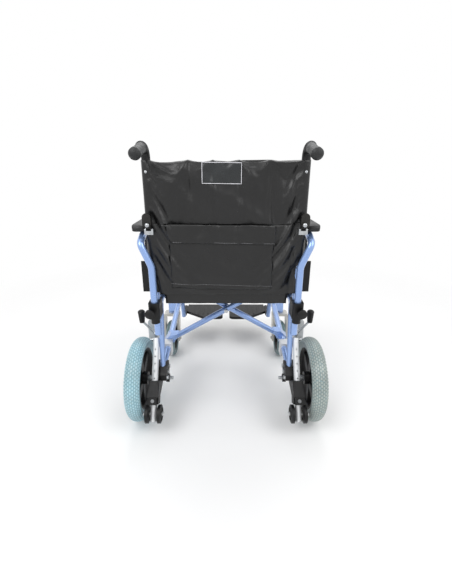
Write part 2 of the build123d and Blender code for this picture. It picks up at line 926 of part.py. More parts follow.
def brake_grip(side):
    x, y, z = brake_rod_end()
    top = brake_grip_length - 5
    with BuildPart() as grip:
        with BuildSketch(Plane(origin=(x, y, z), x_dir=(1, 0, 0), z_dir=(0, -1, 0))):
            with BuildLine():
                Polyline(
                    (0, -5),
                    (brake_grip_r - 4, -5),
                    (brake_grip_r - 3, 4),
                    (brake_grip_r, top - dome_drop(brake_grip_r, brake_dome_r)),
                )
                ThreePointArc(
                    (brake_grip_r, top - dome_drop(brake_grip_r, brake_dome_r)),
                    (brake_grip_r / 2, top - dome_drop(brake_grip_r / 2, brake_dome_r)),
                    (0, top),
                )
                Line((0, top), (0, -5))
            make_face()
        revolve(axis=Axis((x, y, z), (0, 0, 1)))
        rod((lever_x, lever_y, lever_z), brake_rod_end(), lever_rod_r + 0.02, mode=Mode.SUBTRACT)
        to_side(side)
    grip.part.label = f"{side}_brake_grip"
    export_step(grip.part, f"parts/{side}_brake_grip.step")


def seat_receivers(side):
    with BuildPart() as receivers:
        for spot in (axle_y + 60, axle_y + 250, axle_y + 368):
            low = top_rail_z(spot)
            high = seat_z(spot)
            # a cradle clipped on the top rail that holds the seat rail from below
            with BuildSketch(Plane.XZ.offset(-spot - 13)):
                with BuildLine():
                    Polyline(
                        (seat_x - 15, high - 14),
                        (seat_x - 15, high + 2),
                        (seat_x + 15, high + 2),
                        (frame_x + 8, low + 16),
                        (frame_x + 15, low + 4),
                        (frame_x + 15, low - 6),
                        (frame_x - 15, low - 6),
                        (frame_x - 18, low + 6),
                        close=True,
                    )
                make_face()
            extrude(amount=26)
            rod(
                (frame_x, spot - 40, top_rail_z(spot - 40)),
                (frame_x, spot + 40, top_rail_z(spot + 40)),
                rail_r + 0.05,
                mode=Mode.SUBTRACT,
            )
            with BuildSketch(Plane.XZ.offset(-spot - 14)):
                with Locations((seat_x, high)):
                    Circle(seat_rail_r + 1.2)
                with Locations((seat_x, high)):
                    Rectangle(2 * seat_rail_r + 2.4, 10, align=(Align.CENTER, Align.MIN))
            extrude(amount=28, mode=Mode.SUBTRACT)
        to_side(side)
    receivers.part.label = f"{side}_seat_receivers"
    export_step(receivers.part, f"parts/{side}_seat_receivers.step")


def hinge_bracket(side):
    outer = bracket_width / 2 + bracket_wall
    rear = hinge_y - 4
    with BuildPart() as bracket:
        # plated steel block that wraps the lower post from behind
        with Locations((frame_x, rear, hinge_z - bracket_depth)):
            Box(
                2 * outer,
                cane_y - rear - 4,
                bracket_depth + bracket_rise,
                align=(Align.CENTER, Align.MIN, Align.MIN),
            )
        # slot for the upper knuckle
        with Locations((frame_x, rear - 1, hinge_z - knuckle_r - 1)):
            Box(bracket_width, 17, 40, align=(Align.CENTER, Align.MIN, Align.MIN), mode=Mode.SUBTRACT)
        rod(
            (frame_x, cane_y, hinge_z - 60),
            (frame_x, cane_y, hinge_z + 20),
            cane_r + 0.05,
            mode=Mode.SUBTRACT,
        )
        rod((frame_x - outer - 1, hinge_y, hinge_z), (frame_x + outer + 1, hinge_y, hinge_z), hinge_pin_r)
        to_side(side)
    bracket.part.label = f"{side}_hinge_bracket"
    export_step(bracket.part, f"parts/{side}_hinge_bracket.step")


def upper_cane(side):
    droop = math.radians(handle_droop)
    back = back_reach - grip_dome_r + (cane_y - axle_y)
    handle_end = (frame_x, cane_y - back, handle_z - back * math.tan(droop))
    with BuildPart() as cane:
        bent_bar(
            [(frame_x, cane_y, cane_break_z), (frame_x, cane_y, handle_z), handle_end],
            handle_bend,
            cane_r,
        )
        # knuckle plate that turns on the hinge pin, and the block behind the post
        knuckle = bracket_width / 2 - 1.5
        with Locations((frame_x, hinge_y, hinge_z)):
            Box(2 * knuckle, 2 * knuckle_r, 52, align=(Align.CENTER, Align.CENTER, Align.MIN))
        rod((frame_x - knuckle, hinge_y, hinge_z), (frame_x + knuckle, hinge_y, hinge_z), knuckle_r)
        with Locations((frame_x, hinge_y, cane_break_z + 4)):
            Box(2 * knuckle, cane_y - hinge_y, 28, align=(Align.CENTER, Align.MIN, Align.MIN))
        rod(
            (frame_x - 20, hinge_y, hinge_z),
            (frame_x + 20, hinge_y, hinge_z),
            hinge_pin_r + running_gap,
            mode=Mode.SUBTRACT,
        )
        to_side(side)
    cane.part.label = f"{side}_upper_cane"
    export_step(cane.part, f"parts/{side}_upper_cane.step")


def grip(side):
    droop = math.radians(handle_droop)
    back = back_reach - grip_dome_r + (cane_y - axle_y)
    end = Vector(frame_x, cane_y - back, handle_z - back * math.tan(droop))
    forward = Vector(0, math.cos(droop), math.sin(droop))
    dome_back = math.sqrt(grip_dome_r**2 - grip_r**2)
    with BuildPart() as handle:
        with BuildSketch(Plane(origin=end, x_dir=(1, 0, 0), z_dir=-forward.cross(Vector(1, 0, 0)))):
            with BuildLine():
                ThreePointArc(
                    (0, -grip_dome_r),
                    (grip_r * 0.6, -math.sqrt(grip_dome_r**2 - (grip_r * 0.6) ** 2)),
                    (grip_r, -dome_back),
                )
                Polyline(
                    (grip_r, -dome_back),
                    (grip_r, 0),
                    (grip_r - 1.5, 4),
                    (grip_r - 1.5, grip_length - 10),
                    (grip_r + 1, grip_length - 4),
                    (cane_r + 0.1, grip_length),
                    (cane_r + 0.1, -0.1),
                    (0, -0.1),
                    (0, -grip_dome_r),
                )
            make_face()
        revolve(axis=Axis(end, forward))
        to_side(side)
    handle.part.label = f"{side}_grip"
    export_step(handle.part, f"parts/{side}_grip.step")


def hinge_lever(side):
    face_y = hinge_y - knuckle_r - seat_gap
    bolt_z = hinge_lever_z - hinge_lever_length / 2 + 10
    with BuildPart() as lever:
        with BuildSketch(Plane.XZ.offset(-face_y)):
            with Locations((frame_x + 3, hinge_lever_z)):
                SlotOverall(hinge_lever_length, hinge_lever_width, rotation=90)
        extrude(amount=hinge_lever_thickness)
        # bolt head that the lever turns on
        rod(
            (frame_x + 1, face_y - hinge_lever_thickness - 4, bolt_z),
            (frame_x + 1, face_y - hinge_lever_thickness + 1, bolt_z),
            8.5,
        )
        to_side(side)
    lever.part.label = f"{side}_hinge_lever"
    export_step(lever.part, f"parts/{side}_hinge_lever.step")


def hanger(side):
    arm_z = barrel_low_z + barrel_height / 2
    with BuildPart() as leg:
        bent_bar(
            [
                (frame_x, front_y + rail_r + 2, arm_z),
                (frame_x, front_y + hanger_reach, arm_z),
                (frame_x, hanger_foot_y, foot_z),
            ],
            hanger_bend,
            tube_r,
        )
        # barrel that turns on the front upright
        with Locations((frame_x, front_y, barrel_low_z)):
            Cylinder(barrel_r, barrel_height, align=(Align.CENTER, Align.CENTER, Align.MIN))
            Cylinder(
                rail_r + running_gap,
                barrel_height,
                align=(Align.CENTER, Align.CENTER, Align.MIN),
                mode=Mode.SUBTRACT,
            )
        # pin that the footplate turns on
        rod((frame_x, hanger_foot_y, foot_z), (frame_x, foot_front_y - 18, foot_z), plate_pin_r)
        to_side(side)
    leg.part.label = f"{side}_hanger"
    export_step(leg.part, f"parts/{side}_hanger.step")


def footplate(side):
    barrel_rear = hanger_foot_y + tube_r + 6
    with BuildPart() as plate:
        with BuildSketch(Plane.XY.offset(foot_z - foot_thickness / 2)):
            with BuildLine():
                Polyline(
                    (foot_inner_x, foot_rear_y),
                    (foot_slant_x, foot_rear_y),
                    (frame_x - plate_barrel_r + 2, barrel_rear + 30),
                    (frame_x - plate_barrel_r + 2, foot_front_y),
                    (foot_inner_x, foot_front_y),
                    close=True,
                )
            make_face()
            fillet(vertices().group_by(Axis.X)[0], foot_corner)
        extrude(amount=foot_thickness)
        # tread ribs
        with BuildSketch(Plane.XY.offset(foot_z + foot_thickness / 2)):
            with Locations((112.0, (foot_rear_y + foot_front_y) / 2 + 6)):
                with GridLocations(26, 0, 6, 1):
                    Rectangle(6, 110)
        extrude(amount=2)
        rod((frame_x, barrel_rear, foot_z), (frame_x, foot_front_y - 24, foot_z), plate_barrel_r)
        rod(
            (frame_x, barrel_rear - 30, foot_z),
            (frame_x, foot_front_y, foot_z),
            plate_pin_r + running_gap,
            mode=Mode.SUBTRACT,
        )
        to_side(side)
    plate.part.label = f"{side}_footplate"
    export_step(plate.part, f"parts/{side}_footplate.step")


def brace(side):
    # this brace stands on its own side's bottom rail and carries the other side's seat rail
    step = brace_step if side == "left" else -brace_step
    foot = brace_plane.from_local_coords(Vector(frame_x, 0, 0))
    along = brace_plane.z_dir
    start = brace_plane.from_local_coords(Vector(frame_x, 0, step))
    finish = brace_plane.from_local_coords(Vector(-seat_x, seat_rise, step))
    middle = brace_plane.from_local_coords(Vector(0, centre_rise, step))
    with BuildPart() as cross:
        rod(start, finish, brace_r)
        rod(
            (foot - along * (sleeve_length / 2)),
            (foot + along * (sleeve_length / 2)),
            sleeve_r,
        )
        # saddle plate that ties tube and sleeve together
        with BuildSketch(brace_plane.offset(step)):
            with BuildLine():
                Polyline(
                    (frame_x + saddle_width / 2, -2),
                    (frame_x + saddle_width / 2, 3),
                    (frame_x - 4, sleeve_r + 14),
                    (frame_x - 34, 34),
                    (frame_x - 38, 30),
                    (frame_x - saddle_width / 2, 2),
                    (frame_x - saddle_width / 2, -3),
                    close=True,
                )
            make_face()
        extrude(amount=16, both=True)
        # the seat rail on the far end
        rod(
            (-seat_x, seat_rail_rear_y, seat_z(seat_rail_rear_y)),
            (-seat_x, seat_rail_front_y, seat_z(seat_rail_front_y)),
            seat_rail_r,
        )
        rod(
            (foot - along * 60),
            (foot + along * 60),
            rail_r + running_gap,
            mode=Mode.SUBTRACT,
        )
        rod(
            (middle - along * 14),
            (middle + along * 14),
            bolt_r + running_gap,
            mode=Mode.SUBTRACT,
        )
        to_side(side)
    cross.part.label = f"{side}_brace"
    export_step(cross.part, f"parts/{side}_brace.step")


def centre_bolt():
    middle = brace_plane.from_local_coords(Vector(0, centre_rise, 0))
    along = brace_plane.z_dir
    reach = brace_step + brace_r
    with BuildPart() as bolt:
        rod(
            (middle - along * (reach + 6)),
            (middle + along * (reach + 6)),
            bolt_r,
        )
        for end in (-1, 1):
            with BuildSketch(Plane(origin=middle + along * (end * (reach + 0.3)), z_dir=along * end)):
                RegularPolygon(nut_r + 1, 6)
            extrude(amount=5)
    bolt.part.label = "centre_bolt"
    export_step(bolt.part, "parts/centre_bolt.step")


def seat_sling():
    # sling of the seat, from rail to rail
    top = seat_rail_r + seat_gap
    with BuildPart() as sling:
        with BuildSketch(Plane.XZ.offset(-seat_rail_rear_y)):
            with Locations((0, seat_z(seat_rail_rear_y) + top)):
                Rectangle(2 * seat_x + 20, seat_thickness, align=(Align.CENTER, Align.MIN))
        with BuildSketch(Plane.XZ.offset(-seat_rail_front_y)):
            with Locations((0, seat_z(seat_rail_front_y) + top)):
                Rectangle(2 * seat_x + 20, seat_thickness, align=(Align.CENTER, Align.MIN))
        loft()
    sling.part.label = "seat_sling"
    export_step(sling.part, "parts/seat_sling.step")


def back_lower():
    with BuildPart() as cover:
        with Locations((0, back_face_y, back_low_z)):
            Box(
                2 * back_low_half,
                back_thickness,
                back_split_z - back_low_z - seat_gap,
                align=(Align.CENTER, Align.CENTER, Align.MIN),
            )
    cover.part.label = "back_lower"
    export_step(cover.part, "parts/back_lower.step")


def back_upper():
    with BuildPart() as cover:
        with Locations((0, back_face_y, back_split_z)):
            Box(
                2 * back_top_half,
                back_thickness,
                back_top_z - back_split_z,
                align=(Align.CENTER, Align.CENTER, Align.MIN),
            )
    cover.part.label = "back_upper"
    export_step(cover.part, "parts/back_upper.step")


os.makedirs("parts", exist_ok=True)
paired = (
    side_frame, castor_fork, castor_rim, castor_tyre, rear_rim, rear_tyre, rear_axle, axle_knob,
    axle_carrier, antitip_button, antitip_stem, antitip_wheels, armrest_tube, armrest_pad,
    side_panel, armrest_sockets, socket_knob, brake_body, brake_lever, brake_grip,
    seat_receivers, hinge_bracket, upper_cane, grip, hinge_lever, hanger, footplate, brace,
)
for side in ("left", "right"):
    for make in paired:
        make(side)
for make in (centre_bolt, seat_sling, back_lower, back_upper):
    make()
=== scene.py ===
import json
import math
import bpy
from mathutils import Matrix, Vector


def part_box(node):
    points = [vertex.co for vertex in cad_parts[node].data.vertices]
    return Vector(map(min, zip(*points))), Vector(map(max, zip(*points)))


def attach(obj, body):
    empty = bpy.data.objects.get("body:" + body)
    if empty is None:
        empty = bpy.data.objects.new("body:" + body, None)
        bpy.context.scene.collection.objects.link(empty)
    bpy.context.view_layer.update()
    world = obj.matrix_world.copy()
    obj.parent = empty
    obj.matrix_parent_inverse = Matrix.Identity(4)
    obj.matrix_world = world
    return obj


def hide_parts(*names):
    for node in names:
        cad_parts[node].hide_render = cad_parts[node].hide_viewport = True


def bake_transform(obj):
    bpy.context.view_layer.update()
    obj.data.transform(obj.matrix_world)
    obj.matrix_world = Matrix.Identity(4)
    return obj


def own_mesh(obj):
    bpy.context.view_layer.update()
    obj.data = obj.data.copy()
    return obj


bl_info = {
    "name": "Transport Wheelchair Looks",
    "version": (1, 0, 0),
    "blender": (4, 5, 0),
    "location": "3D View > Sidebar > Wheelchair",
    "description": "Dresses the wheelchair frame with its finishes, fabric, tyres and small fasteners",
    "category": "Object",
}

import bmesh
import bpy
from bpy.props import FloatProperty, FloatVectorProperty, IntProperty, PointerProperty
from mathutils import Vector, noise

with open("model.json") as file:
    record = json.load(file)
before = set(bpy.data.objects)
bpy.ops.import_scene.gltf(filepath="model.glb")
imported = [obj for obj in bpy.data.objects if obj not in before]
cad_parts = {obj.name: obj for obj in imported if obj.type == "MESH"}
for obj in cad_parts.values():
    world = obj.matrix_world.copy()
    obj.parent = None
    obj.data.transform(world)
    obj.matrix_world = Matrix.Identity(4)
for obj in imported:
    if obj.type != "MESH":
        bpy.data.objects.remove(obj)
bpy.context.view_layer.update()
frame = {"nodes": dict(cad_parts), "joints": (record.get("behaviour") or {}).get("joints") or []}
MM = 0.001
SIDES = (("left", -1), ("right", 1))
BRACE_ANGLE = math.radians(32.5)  # each brace's slope when the chair is open
SLEEVE_GAP = 1.6 * MM  # fabric and its slack round a back post
TOP_RISE = 9 * MM  # the cover's top edge stands this far above its solid
WAVE_PERIOD = 0.314  # a wave texture repeats after this length at scale 1
FOLD = next(j for j in frame["joints"] if j["name"] == "cross_fold")


def paint(code):
    """Turns an sRGB hex colour into the linear colour that the shaders use."""
    channels = [int(code[i:i + 2], 16) / 255 for i in (0, 2, 4)]
    return tuple(c / 12.92 if c <= 0.04045 else ((c + 0.055) / 1.055) ** 2.4 for c in channels)


def middle(node):
    """The middle of a CAD node's box."""
    low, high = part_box(node)
    return (low + high) / 2


# Places read from the frame
CANE_LOW, CANE_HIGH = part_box("right_upper_cane")
CANE_X = (CANE_LOW.x + CANE_HIGH.x) / 2
CANE_R = (CANE_HIGH.x - CANE_LOW.x) / 2
CANE_Y = CANE_HIGH.y - CANE_R
LOWER_LOW, LOWER_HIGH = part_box("back_lower")
UPPER_LOW, UPPER_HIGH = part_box("back_upper")
SPLIT_Z = UPPER_LOW.z
SEAT_LOW, SEAT_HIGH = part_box("seat_sling")


def colour(label, about, code):
    return FloatVectorProperty(name=label, description=about, subtype="COLOR", size=3, min=0, max=1,
                               default=paint(code))


def length(label, about, size):
    return FloatProperty(name=label, description=about, default=size, min=0, precision=5,
                         unit="LENGTH", subtype="DISTANCE")


class WheelchairFinish(bpy.types.PropertyGroup):
    """Colours of the chair's finishes."""

    frame_blue: colour("Frame Blue", "Pale blue powder coat of the tubes", "8CA9DC")
    lever_black: colour("Lever Black", "Coating of the hinge levers", "1F1E1C")
    silver: colour("Silver", "Lacquer of the anti-tipper tubes", "D9DBDD")
    zinc: colour("Zinc", "Plating of bolts, nuts and rods", "B9BCBF")
    fork_silver: colour("Fork Silver", "Paint of the castor forks and housings", "C4C1BA")
    moulding: colour("Moulding", "Black moulded plastic", "070708")
    grip: colour("Grip", "Rubber of the push handles", "17191A")
    tyre: colour("Tyre", "Solid grey green tyre", "7DA3AF")
    tyre_dust: colour("Tyre Dust", "Pale scuffed rubber", "B9C6C4")
    # Darker teal than the rear tyre: the tyre's own teal with painted shade, standing for the castor's inner
    # side wall in shadow
    castor_tyre_with_painted_shade: colour("Castor Tyre", "Solid castor tyre", "506A6E")
    nylon: colour("Nylon", "Coated nylon of the seat and back", "070708")
    pad: colour("Pad", "Skin of the armrest pads", "111113")
    floor: colour("Floor", "Pale studio floor", "F4F4F4")


class WheelchairSizes(bpy.types.PropertyGroup):
    """Sizes of the chair's soft and fine detail."""

    thread: length("Thread Spacing", "Spacing of the drawn nylon weave", 1.6 * MM)
    grain: length("Moulding Grain", "Width of the spark grain on black mouldings", 1.2 * MM)
    cloth: length("Cloth Thickness", "Thickness of a single layer of nylon", 1.1 * MM)
    hem: length("Hem", "Height of the back cover's hem above its lower end", 44 * MM)
    stitch: length("Stitch Spacing", "Spacing of the drawn stitches", 5.0 * MM)
    lug: length("Tread Lug", "Length of one tread lug", 7.0 * MM)
    lug_rise: length("Tread Rise", "Height of a tread lug", 2.2 * MM)
    slack: FloatProperty(name="Slack", description="Share by which the back cover is larger than its span",
                         default=0.045, min=0, max=0.2)
    lug_rows: IntProperty(name="Lug Rows", description="Rows of tread lugs across the tyre", default=9, min=1)


def add(tree, kind, settings=None, links=None):
    """Adds one node, sets its sockets or properties, and links its inputs."""
    node = tree.nodes.new(kind)
    for key, value in (settings or {}).items():
        if isinstance(key, int) or key in node.inputs:
            node.inputs[key].default_value = value
        else:
            setattr(node, key, value)
    for key, source in (links or {}).items():
        tree.links.new(source, node.inputs[key])
    return node


def finish_of(name):
    """A new material with its shader, its output and object coordinates."""
    material = bpy.data.materials.new(name)
    material.use_nodes = True
    tree = material.node_tree
    tree.nodes.clear()
    shader = add(tree, "ShaderNodeBsdfPrincipled")
    add(tree, "ShaderNodeOutputMaterial", links={"Surface": shader.outputs[0]})
    place = add(tree, "ShaderNodeTexCoord").outputs["Object"]
    return material, tree, shader, place


def rgba(value, lift=1.0):
    return tuple(min(1.0, c * lift) for c in value) + (1.0,)


def cloudy(tree, place, size, low, high, detail=4.0, edge=(0.35, 0.65)):
    """Two colours mixed by soft noise whose blotches are about that size."""
    blotch = add(tree, "ShaderNodeTexNoise", {"Scale": 1 / size, "Detail": detail}, {"Vector": place})
    ramp = add(tree, "ShaderNodeValToRGB", links={"Fac": blotch.outputs["Fac"]})
    ramp.color_ramp.elements[0].position = edge[0]
    ramp.color_ramp.elements[1].position = edge[1]
    ramp.color_ramp.elements[0].color = low
    ramp.color_ramp.elements[1].color = high
    return ramp.outputs["Color"]


def uneven(tree, place, size, low, high):
    """A value that wanders between two limits."""
    blotch = add(tree, "ShaderNodeTexNoise", {"Scale": 1 / size, "Detail": 5.0}, {"Vector": place})
    span = add(tree, "ShaderNodeMapRange", {"From Min": 0.3, "From Max": 0.7, "To Min": low, "To Max": high},
               {"Value": blotch.outputs["Fac"]})
    return span.outputs["Result"]


def raised(tree, height, depth):
    """Bump of a real depth."""
    bump = add(tree, "ShaderNodeBump", {"Distance": depth, "Strength": 1.0}, {"Height": height})
    return bump.outputs["Normal"]


def base_finish(name, tint, blotch, tones, patch, rough, detail=4.0):
    """A material whose colour and shine both wander: blotch and patch are the sizes of the changes."""
    material, tree, shader, place = finish_of(name)
    tone = cloudy(tree, place, blotch, rgba(tint, tones[0]), rgba(tint, tones[1]), detail)
    tree.links.new(tone, shader.inputs["Base Color"])
    tree.links.new(uneven(tree, place, patch, *rough), shader.inputs["Roughness"])
    return material, tree, shader, place


def grained(tree, shader, place, grain, detail, depth):
    """Fine noise in the surface, as orange peel, plating or a spark eroded mould leaves it."""
    noise_node = add(tree, "ShaderNodeTexNoise", {"Scale": 1 / grain, "Detail": detail}, {"Vector": place})
    tree.links.new(raised(tree, noise_node.outputs["Fac"], depth), shader.inputs["Normal"])


def powder_coated_steel(name, tint):
    """Pearl powder coat on steel tube: clean satin colour with faint orange peel and a clear gloss."""
    material, tree, shader, place = base_finish(name, tint, 120 * MM, (0.97, 1.03), 60 * MM,
                                                (0.22, 0.28), 1.0)
    grained(tree, shader, place, 2 * MM, 2.0, 0.02 * MM)
    shader.inputs["Metallic"].default_value = 0.55
    shader.inputs["Coat Weight"].default_value = 0.8
    shader.inputs["Coat Roughness"].default_value = 0.12
    return material


def plated_steel(name, tint):
    """Zinc plating: bright grey metal with a cloudy, slightly uneven sheen."""
    material, tree, shader, place = base_finish(name, tint, 5 * MM, (0.85, 1.1), 3 * MM, (0.24, 0.38))
    grained(tree, shader, place, 1.5 * MM, 3.0, 0.03 * MM)
    shader.inputs["Metallic"].default_value = 1.0
    return material


def silver_lacquer(name, tint, metal=0.4):
    """Silver lacquer on tube and castings: a near white metallic paint with soft reflections."""
    material, tree, shader, place = base_finish(name, tint, 40 * MM, (0.93, 1.03), 12 * MM, (0.28, 0.42))
    grained(tree, shader, place, 0.8 * MM, 2.0, 0.02 * MM)
    shader.inputs["Metallic"].default_value = metal
    shader.inputs["Coat Weight"].default_value = 0.3
    return material


def moulded_nylon(name, tint, grain, rough=(0.38, 0.52)):
    """Glass filled nylon: black, with a spark grain from the mould and a dull shine that varies."""
    material, tree, shader, place = base_finish(name, tint, 30 * MM, (0.8, 1.5), 9 * MM, rough)
    grained(tree, shader, place, grain, 3.0, 0.06 * MM)
    shader.inputs["Specular IOR Level"].default_value = 0.35
    return material


def pebbled_rubber(name, tint, pebble):
    """Handle rubber: close pebbles moulded in, dull, a little paler where hands rub it."""
    material, tree, shader, place = base_finish(name, tint, 35 * MM, (0.8, 2.0), 10 * MM, (0.42, 0.6))
    cells = add(tree, "ShaderNodeTexVoronoi", {"Scale": 1 / pebble}, {"Vector": place})
    tree.links.new(raised(tree, cells.outputs["Distance"], 0.35 * MM), shader.inputs["Normal"])
    return material


def solid_tyre(name, tint, dust):
    """Foamed polyurethane tyre: grey green and slightly waxy, scuffed paler in streaks round the tread."""
    material, tree, shader, place = finish_of(name)
    body = cloudy(tree, place, 45 * MM, rgba(tint, 0.88), rgba(tint, 1.08), 6.0)
    scuff = add(tree, "ShaderNodeTexNoise", {"Scale": 1 / (7 * MM), "Detail": 8.0, "Roughness": 0.7},
                {"Vector": place})
    patch = add(tree, "ShaderNodeMapRange", {"From Min": 0.5, "From Max": 0.68, "To Max": 0.55},
                {"Value": scuff.outputs["Fac"]})
    worn = add(tree, "ShaderNodeMix", {"data_type": "RGBA", 7: rgba(dust)},
               {0: patch.outputs["Result"], 6: body})
    tree.links.new(worn.outputs[2], shader.inputs["Base Color"])
    tree.links.new(uneven(tree, place, 14 * MM, 0.3, 0.5), shader.inputs["Roughness"])
    grained(tree, shader, place, 2.5 * MM, 4.0, 0.15 * MM)
    shader.inputs["Coat Weight"].default_value = 0.25
    shader.inputs["Coat Roughness"].default_value = 0.3
    return material


def coated_oxford(name, tint, thread):
    """Oxford nylon with a coating: black plain weave and a low sheen on the folds. The real thread is
    0.4 mm, too fine for the render, so the weave is drawn coarser."""
    material, tree, shader, place = base_finish(name, tint, 70 * MM, (0.85, 1.35), 30 * MM, (0.27, 0.38))
    weave = []
    for direction in ("X", "Z"):
        wave = add(tree, "ShaderNodeTexWave", {"bands_direction": direction, "Scale": WAVE_PERIOD / thread,
                                               "Distortion": 0.6}, {"Vector": place})
        weave.append(wave.outputs["Fac"])
    cross = add(tree, "ShaderNodeMath", {"operation": "MULTIPLY"}, {0: weave[0], 1: weave[1]})
    creases = add(tree, "ShaderNodeTexNoise", {"Scale": 1 / (28 * MM), "Detail": 5.0, "Distortion": 1.2},
                  {"Vector": place})
    soft = add(tree, "ShaderNodeBump", {"Distance": 1.6 * MM, "Strength": 0.5},
               {"Height": creases.outputs["Fac"]})
    fine = add(tree, "ShaderNodeBump", {"Distance": 0.12 * MM, "Strength": 0.7},
               {"Height": cross.outputs["Value"], "Normal": soft.outputs["Normal"]})
    tree.links.new(fine.outputs["Normal"], shader.inputs["Normal"])
    shader.inputs["Sheen Weight"].default_value = 0.08
    shader.inputs["Sheen Roughness"].default_value = 0.4
    return material


def skinned_foam(name, tint):
    """Self skinned polyurethane foam: a black leather like skin with shallow grain."""
    material, tree, shader, place = base_finish(name, tint, 40 * MM, (0.85, 1.4), 18 * MM, (0.42, 0.56))
    hide = add(tree, "ShaderNodeTexVoronoi", {"Scale": 1 / (2.2 * MM), "feature": "DISTANCE_TO_EDGE"},
               {"Vector": place})
    tree.links.new(raised(tree, hide.outputs["Distance"], 0.12 * MM), shader.inputs["Normal"])
    return material


def clear_film(name, tint):
    """Bare film: smooth and glossy over one flat colour."""
    return base_finish(name, tint, 20 * MM, (0.9, 1.2), 12 * MM, (0.22, 0.34))[0]


def finishes():
    """Every finish of the chair, made once and then found by name."""
    tone = bpy.context.scene.wheelchair_finish
    size = bpy.context.scene.wheelchair_sizes
    makers = {
        "Blue powder coat": lambda n: powder_coated_steel(n, tone.frame_blue),
        "Zinc plate": lambda n: plated_steel(n, tone.zinc),
        "Silver lacquer": lambda n: silver_lacquer(n, tone.silver),
        "Fork silver": lambda n: silver_lacquer(n, tone.fork_silver, 0.3),
        "Black lever coat": lambda n: moulded_nylon(n, tone.lever_black, size.grain, (0.22, 0.34)),
        "Black moulded nylon": lambda n: moulded_nylon(n, tone.moulding, size.grain),
        "Grey button": lambda n: moulded_nylon(n, paint("77797B"), size.grain),
        "Handle rubber": lambda n: pebbled_rubber(n, tone.grip, 2.4 * MM),
        "Tyre polyurethane": lambda n: solid_tyre(n, tone.tyre, tone.tyre_dust),
        "Worn tyre polyurethane": lambda n: solid_tyre(n, paint("7F8B89"), paint("6F98A4")),
        # Tread lug finishes: paler copies of the two tyre colours, partly pale wear and dust on the tread and
        # partly painted light where the tread faces the lamps
        "Tyre tread": lambda n: solid_tyre(n, paint("A8CCD6"), tone.tyre_dust),
        "Worn tyre tread": lambda n: solid_tyre(n, paint("A7AFAA"), paint("8FB0B8")),
        # The castor's darker teal holds painted shade of its shadowed inner side wall
        "Castor polyurethane": lambda n: solid_tyre(n, tone.castor_tyre_with_painted_shade, tone.tyre),
        "Coated oxford nylon": lambda n: coated_oxford(n, tone.nylon, size.thread),
        "Skinned foam": lambda n: skinned_foam(n, tone.pad),
        "Bare film": lambda n: clear_film(n, paint("1C1F21")),
        "Film border": lambda n: clear_film(n, paint("C9C9CE")),
        "Black thread": lambda n: moulded_nylon(n, paint("77777A"), size.grain, (0.5, 0.7)),
    }
    return {n: bpy.data.materials.get(n) or make(n) for n, make in makers.items()}


def piece_from(name, mesh, material, body, smooth=True):
    """A finished piece in the shared frame: its mesh, its finish, and the body that it rides on."""
    piece = bpy.data.objects.new(name, mesh)
    bpy.context.scene.collection.objects.link(piece)
    mesh.materials.clear()
    mesh.materials.append(finishes()[material])
    for face in mesh.polygons:
        face.use_smooth = smooth
    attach(piece, body)
    return piece


def mesh_from(name, points, faces):
    mesh = bpy.data.meshes.new(name)
    mesh.from_pydata([tuple(p) for p in points], [], faces)
    mesh.validate()
    built = bmesh.new()
    built.from_mesh(mesh)
    bmesh.ops.remove_doubles(built, verts=built.verts, dist=0.01 * MM)
    bmesh.ops.recalc_face_normals(built, faces=built.faces)
    built.to_mesh(mesh)
    built.free()
    return mesh


def loft(name, rings, closed=False):
    """Joins rings of equal point counts into a skin, and closes its two ends unless it is a loop."""
    count = len(rings[0])
    points = [p for ring in rings for p in ring]
    faces = []
    steps = len(rings) if closed else len(rings) - 1
    for r in range(steps):
        a, b = r * count, ((r + 1) % len(rings)) * count
        for i in range(count):
            j = (i + 1) % count
            faces.append((a + i, a + j, b + j, b + i))
    if not closed:
        faces.append(tuple(range(count)))
        faces.append(tuple(range(len(points) - count, len(points))))
    return mesh_from(name, points, faces)


def baked(piece, tree, values):
    """Runs a Geometry Nodes tree on a piece and keeps its result as a plain mesh."""
    modifier = piece.modifiers.new(tree.name, "NODES")
    modifier.node_group = tree
    for item in tree.interface.items_tree:
        if item.item_type == "SOCKET" and item.in_out == "INPUT" and item.name in values:
            modifier[item.identifier] = values[item.name]
    depsgraph = bpy.context.evaluated_depsgraph_get()
    result = bpy.data.meshes.new_from_object(piece.evaluated_get(depsgraph))
    piece.modifiers.clear()
    piece.data = result
    return result


def repeated(name, points, edges, faces, tree, values, body):
    """A piece that a Geometry Nodes tree makes from a bare mesh, on its body."""
    mesh = bpy.data.meshes.new(name)
    mesh.from_pydata([tuple(p) for p in points], edges, faces)
    piece = bpy.data.objects.new(name, mesh)
    bpy.context.scene.collection.objects.link(piece)
    baked(piece, tree, values)
    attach(piece, body)
    return piece


def new_tree(name, inputs):
    """An empty Geometry Nodes tree with named sizes, and its two end nodes."""
    tree = bpy.data.node_groups.new(name, "GeometryNodeTree")
    tree.interface.new_socket("Geometry", in_out="INPUT", socket_type="NodeSocketGeometry")
    tree.interface.new_socket("Geometry", in_out="OUTPUT", socket_type="NodeSocketGeometry")
    for label in inputs:
        tree.interface.new_socket(label, in_out="INPUT", socket_type="NodeSocketFloat")
    return tree, add(tree, "NodeGroupInput"), add(tree, "NodeGroupOutput")


def finish_tree(tree, end, geometry, material):
    real = add(tree, "GeometryNodeRealizeInstances", links={"Geometry": geometry})
    coloured = add(tree, "GeometryNodeSetMaterial", {"Material": material}, {"Geometry": real.outputs[0]})
    tree.links.new(coloured.outputs[0], end.inputs["Geometry"])


